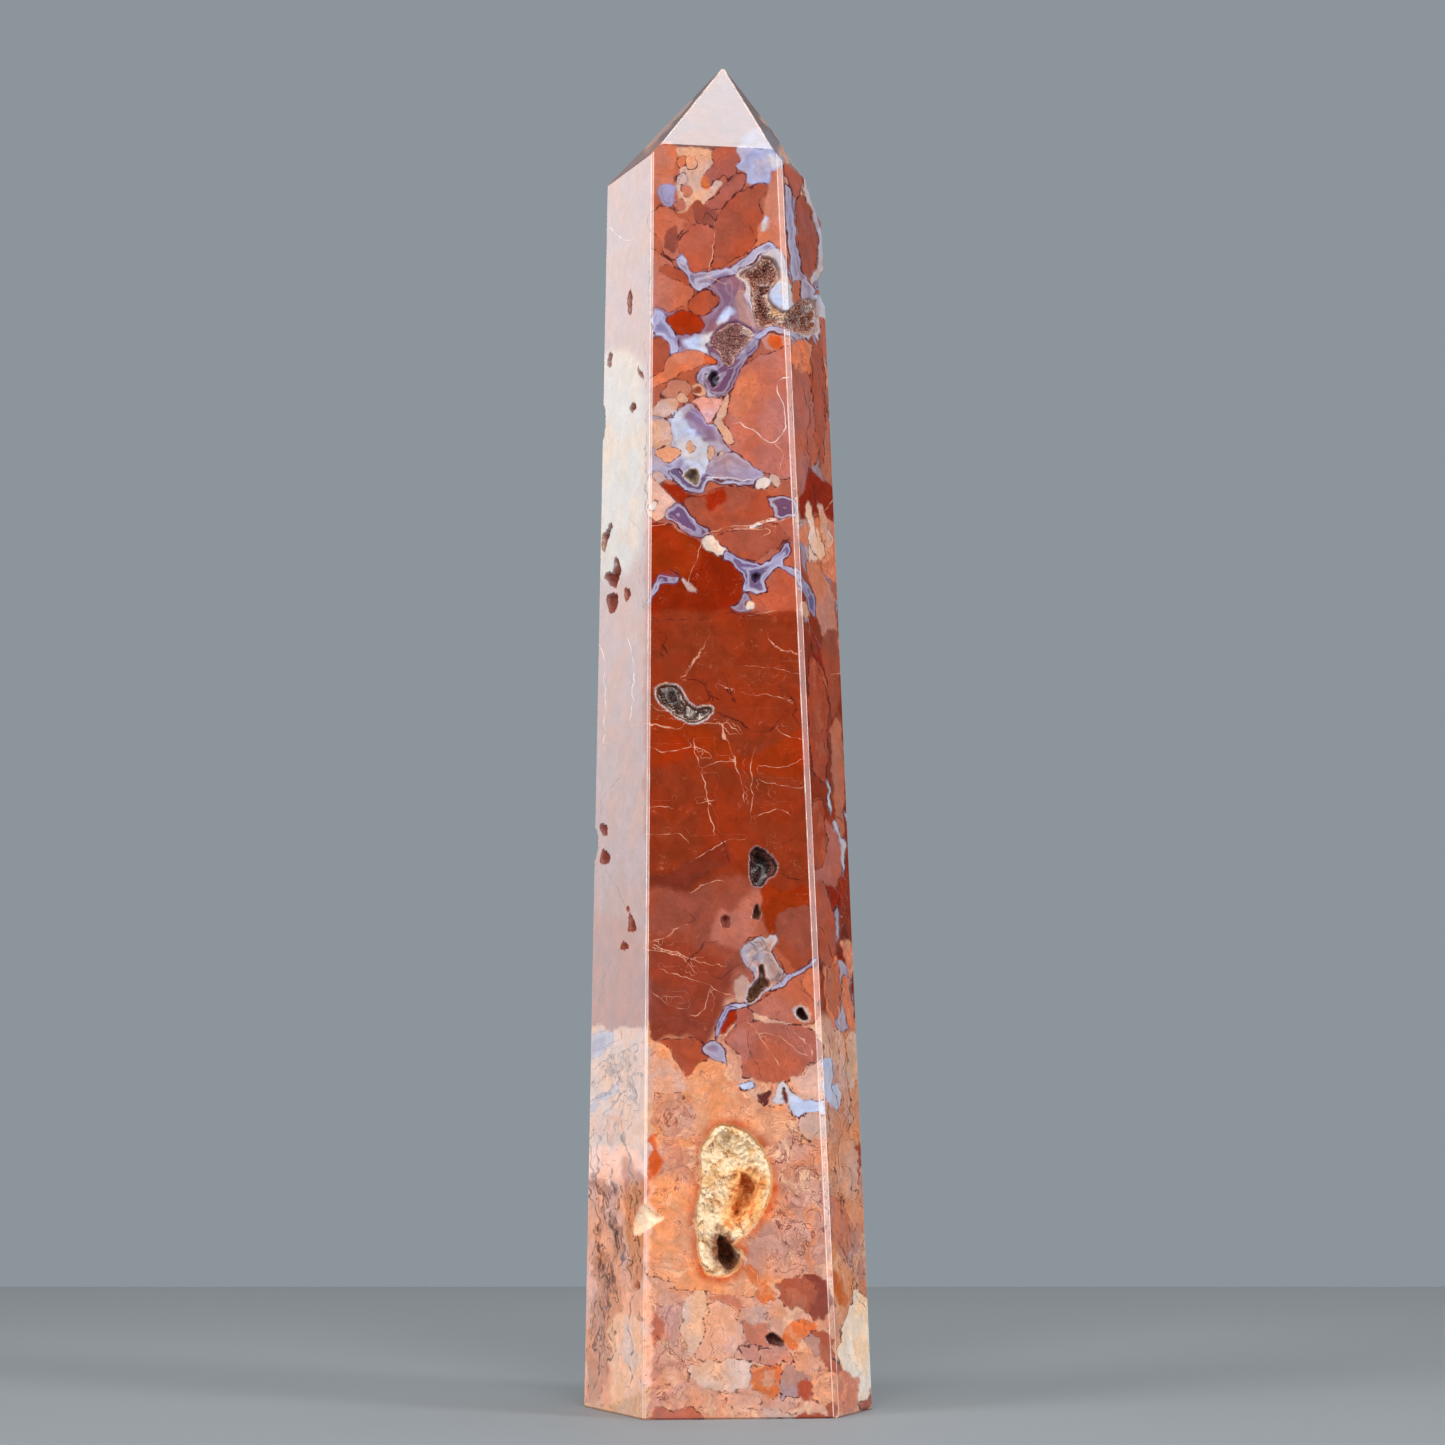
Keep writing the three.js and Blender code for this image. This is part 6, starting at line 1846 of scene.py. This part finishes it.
def druseTree():
    # Geometry Nodes: six-sided quartz points standing on the front of a crust.
    tree, given, made = newGroup("druse", "GeometryNodeTree", {
        "Crust": "Geometry", "Spacing": "Float", "Width": "Float", "Length": "Float", "Seed": "Int",
        "Finish": "Material"}, {"Druse": "Geometry"})
    grow = add(tree, "GeometryNodeInputNamedAttribute", {"Name": "grow"}, data_type="FLOAT")
    points = add(tree, "GeometryNodeDistributePointsOnFaces", {
        "Mesh": given["Crust"], "Distance Min": given["Spacing"], "Density Max": quartz["density"],
        "Density Factor": grow.outputs["Attribute"], "Seed": given["Seed"],
    }, distribute_method="POISSON")
    half = times(tree, given["Width"], 0.5)
    prism = add(tree, "GeometryNodeMeshCylinder", {
        "Vertices": quartz["sides"], "Radius": half, "Depth": given["Length"]}, fill_type="TRIANGLE_FAN")
    spot = add(tree, "GeometryNodeInputPosition").outputs[0]
    axes = splitAxes(tree, spot)
    radial = vectorCalc(tree, "LENGTH", {0: stretched(tree, spot, (1, 1, 0))})["Value"]
    middle = calc(tree, "LESS_THAN", radial, times(tree, half, 0.3))
    isTip = times(tree, middle, calc(tree, "GREATER_THAN", axes["Z"], 0.0))
    lift = add(tree, "ShaderNodeCombineXYZ", {"Z": times(tree, given["Width"], quartz["tip"])})
    pointed = add(tree, "GeometryNodeSetPosition", {
        "Geometry": prism.outputs["Mesh"], "Selection": isTip, "Offset": lift.outputs[0]})
    tilt = quartz["lean"]
    lean = add(tree, "FunctionNodeRandomValue", {
        0: (-tilt, -tilt, 0.0), 1: (tilt, tilt, 6.283), "Seed": given["Seed"]}, data_type="FLOAT_VECTOR")
    turn = add(tree, "FunctionNodeEulerToRotation", {0: lean.outputs[0]})
    aimed = add(tree, "FunctionNodeRotateRotation", {
        0: points.outputs["Rotation"], 1: turn.outputs[0]}, rotation_space="LOCAL")
    small, large = quartz["sizes"]
    size = add(tree, "FunctionNodeRandomValue", {
        2: small, 3: large, "Seed": given["Seed"]}, data_type="FLOAT")
    grown = add(tree, "GeometryNodeInstanceOnPoints", {
        "Points": points.outputs["Points"], "Instance": pointed.outputs[0],
        "Rotation": aimed.outputs[0], "Scale": size.outputs[1]})
    crystals = add(tree, "GeometryNodeRealizeInstances", {0: grown.outputs[0]})
    flat = add(tree, "GeometryNodeSetShadeSmooth", {0: crystals.outputs[0], 2: False})
    joined = tree.nodes.new("GeometryNodeJoinGeometry")
    tree.links.new(given["Crust"], joined.inputs[0])
    tree.links.new(flat.outputs[0], joined.inputs[0])
    finished = add(tree, "GeometryNodeSetMaterial", {
        "Geometry": joined.outputs[0], "Material": given["Finish"]})
    tree.links.new(finished.outputs[0], made["Druse"])
    return tree


def growDruse(piece, tree, values):
    modifier = piece.modifiers.new("druse", "NODES")
    modifier.node_group = tree
    for item in tree.interface.items_tree:
        if item.in_out == "INPUT" and item.name in values:
            modifier[item.identifier] = values[item.name]
    evaluated = piece.evaluated_get(bpy.context.evaluated_depsgraph_get())
    grown = bpy.data.meshes.new_from_object(evaluated)
    piece.modifiers.remove(modifier)
    piece.data = grown


def tintSpots(spots, points):
    # The colour of the spot that each point lies in, and how strongly it shows there.
    pixels = toPhoto(points)
    tint, alpha = np.ones((len(points), 3)), np.zeros(len(points))
    for middle, radius, color in spots:
        away = np.linalg.norm(pixels - middle, axis=1) + waver(points, 1.1, 94) * radius * 0.5
        amount = easing(away, radius * 1.2, radius * 0.5)
        tint += (toLinear(color) - tint) * amount[:, None]
        alpha = np.maximum(alpha, amount)
    return tint, alpha


def makeCrusts():
    tree = druseTree()
    for name, kind in crustKinds.items():
        finish = quartzMaterial(name.replace("_", " "), kind)
        points, triangles, grow, tones = crustShell(kind)
        piece = meshObject(name, points, triangles, finish)
        half = max(hollows[hollow]["half"] for hollow in kind["hollows"])
        setValues(piece.data, "grow", grow)
        # deep darkens the crystals towards the middle of the hollow: painted shade in its depth
        setValues(piece.data, "deep", easing(tones.max(1) + waver(points, 1.2, 93) * 3, 0.5, half * 0.5))
        tint, alpha = tintSpots(kind["spots"], points)
        setColors(piece.data, "tint", tint, alpha)
        width, length = kind["crystal"]
        growDruse(piece, tree, {
            "Spacing": kind["spacing"] * mm, "Width": width * mm, "Length": length * mm,
            "Seed": kind["seed"], "Finish": finish,
        })
        print("  ", name, len(piece.data.polygons), "faces")
        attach(piece, "root")
        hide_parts(kind["node"])


def makeOchre():
    points, triangles, grow, tones = crustShell(ochreCrust)
    piece = meshObject("ochre_lining", points, triangles, crumblyOchre())
    deep = easing(tones[:, 1] + ruffle(points, ochreCrust["deepWaves"]), *ochreCrust["deepFrom"])
    # pit is where the dark pit tones show, partly painted shade round the deep pit
    pit = easing(tones[:, 2] + ruffle(points, ochreCrust["pitWaves"]), *ochreCrust["pitFrom"])
    setVectors(piece.data, "tones", np.stack([deep, pit, grow], 1))
    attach(piece, "root")
    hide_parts(ochreCrust["node"])


makeCrusts()
makeOchre()

print("floor and light")
studio = {
    "floorEdge": 0.393, "reach": 0.9, "floor": (150, 157, 162), "floorRoughness": 0.6,
    "background": (141, 149, 156), "dim": (0.9, 0.95, 1.0, 1.0), "ambient": 0.05, "behind": 0.34,
    "behindFrom": (0.80, 0.95),
}
panels = [
    {"middle": (-0.72, 0.55), "width": 0.24, "low": 0.03, "high": 0.85, "glow": (2.0, 3.3), "even": 0.5},
    {"middle": (0.98, -0.29), "width": 0.2, "low": 0.01, "high": 0.75, "glow": (5.0, 4.0), "even": 0.5},
]
lamps = [
    # name, middle, what it shines at, width, height, brightness
    ("left front softbox", (-0.98, -0.73, 0.45), (0, 0, 0.12), 0.55, 0.9, 7.0),
    ("right softbox", (1.02, -0.62, 0.42), (0, 0, 0.12), 0.3, 0.9, 11.0),
    ("overhead softbox", (0.10, 0.12, 1.25), (0, 0, 0.2), 0.42, 0.42, 6.2),
    ("high front softbox", (0.0, -1.0, 1.15), (0, 0, 0.12), 0.9, 0.5, 8.0),
]


def plainMaterial(name, color, roughness):
    material, tree = newMaterial(name)
    place = inMillimetres(tree)
    cloud = noise(tree, place, 0.006, 3.0)
    paler = srgb([min(255, value * 1.05) for value in color])
    cloudy = blendColor(tree, cloud, srgb(color), paler)
    addSurface(tree, {"Base Color": cloudy, "Roughness": roughness, "Specular IOR Level": 0.1})
    return material


def makeStage():
    reach, edge = studio["reach"] / mm, studio["floorEdge"] / mm
    corners = np.array([(-reach, -reach, 0), (reach, -reach, 0), (reach, edge, 0), (-reach, edge, 0)], float)
    finish = plainMaterial("floor", studio["floor"], studio["floorRoughness"])
    floor = meshObject("floor", corners, np.array([(0, 1, 2), (0, 2, 3)]), finish, False)


def makeLamp(name, middle, target, width, height, brightness):
    light = bpy.data.lights.new(name, "AREA")
    light.shape = "RECTANGLE"
    light.size, light.size_y = width, height
    light.energy = brightness * math.pi * width * height
    lamp = bpy.data.objects.new(name, light)
    lamp.location = middle
    lamp.visible_camera = False
    lamp.rotation_euler = (Vector(target) - Vector(middle)).to_track_quat("-Z", "Y").to_euler()
    scene.collection.objects.link(lamp)


def makeGlowPanel(panel):
    # A tall softbox that only the left face mirrors, or only the bevel right of the front.
    material, tree = newMaterial("softbox glow")
    height = splitAxes(tree, inMillimetres(tree))["Z"]
    strength = ramp(tree, height, panel["low"] / mm, panel["even"] / mm, *panel["glow"])
    addSurface(tree, {"Strength": strength}, "ShaderNodeEmission")
    middle = np.array([*panel["middle"], 0.0])
    across = np.cross(middle, (0, 0, 1)) / np.linalg.norm(middle) * panel["width"] / 2
    low, high = (np.array([0, 0, panel[name]]) for name in ("low", "high"))
    corners = np.array([low - across, low + across, high + across, high - across]) + middle
    softbox = meshObject("softbox", corners / mm, np.array([(0, 2, 1), (0, 3, 2)]), material, False)
    for ray in ("camera", "diffuse", "shadow"):
        setattr(softbox, "visible_" + ray, False)


def makeWorld():
    # A plain grey background straight behind, and dim all round, so that the polished faces stay dark.
    world = bpy.data.worlds.new("studio")
    world.use_nodes = True
    tree = world.node_tree
    tree.nodes.clear()
    facing = splitAxes(tree, add(tree, "ShaderNodeTexCoord").outputs["Generated"])["Y"]
    strength = ramp(tree, facing, *studio["behindFrom"], studio["ambient"], studio["behind"])
    dim = add(tree, "ShaderNodeBackground", {"Color": studio["dim"], "Strength": strength})
    plain = add(tree, "ShaderNodeBackground", {"Color": srgb(studio["background"])})
    seen = add(tree, "ShaderNodeLightPath").outputs["Is Camera Ray"]
    mixed = add(tree, "ShaderNodeMixShader", {0: seen, 1: dim.outputs[0], 2: plain.outputs[0]})
    add(tree, "ShaderNodeOutputWorld", {"Surface": mixed.outputs[0]})
    scene.world = world


makeStage()
for panel in panels:
    makeGlowPanel(panel)
for values in lamps:
    makeLamp(*values)
makeWorld()
scene.view_settings.view_transform = "Standard"
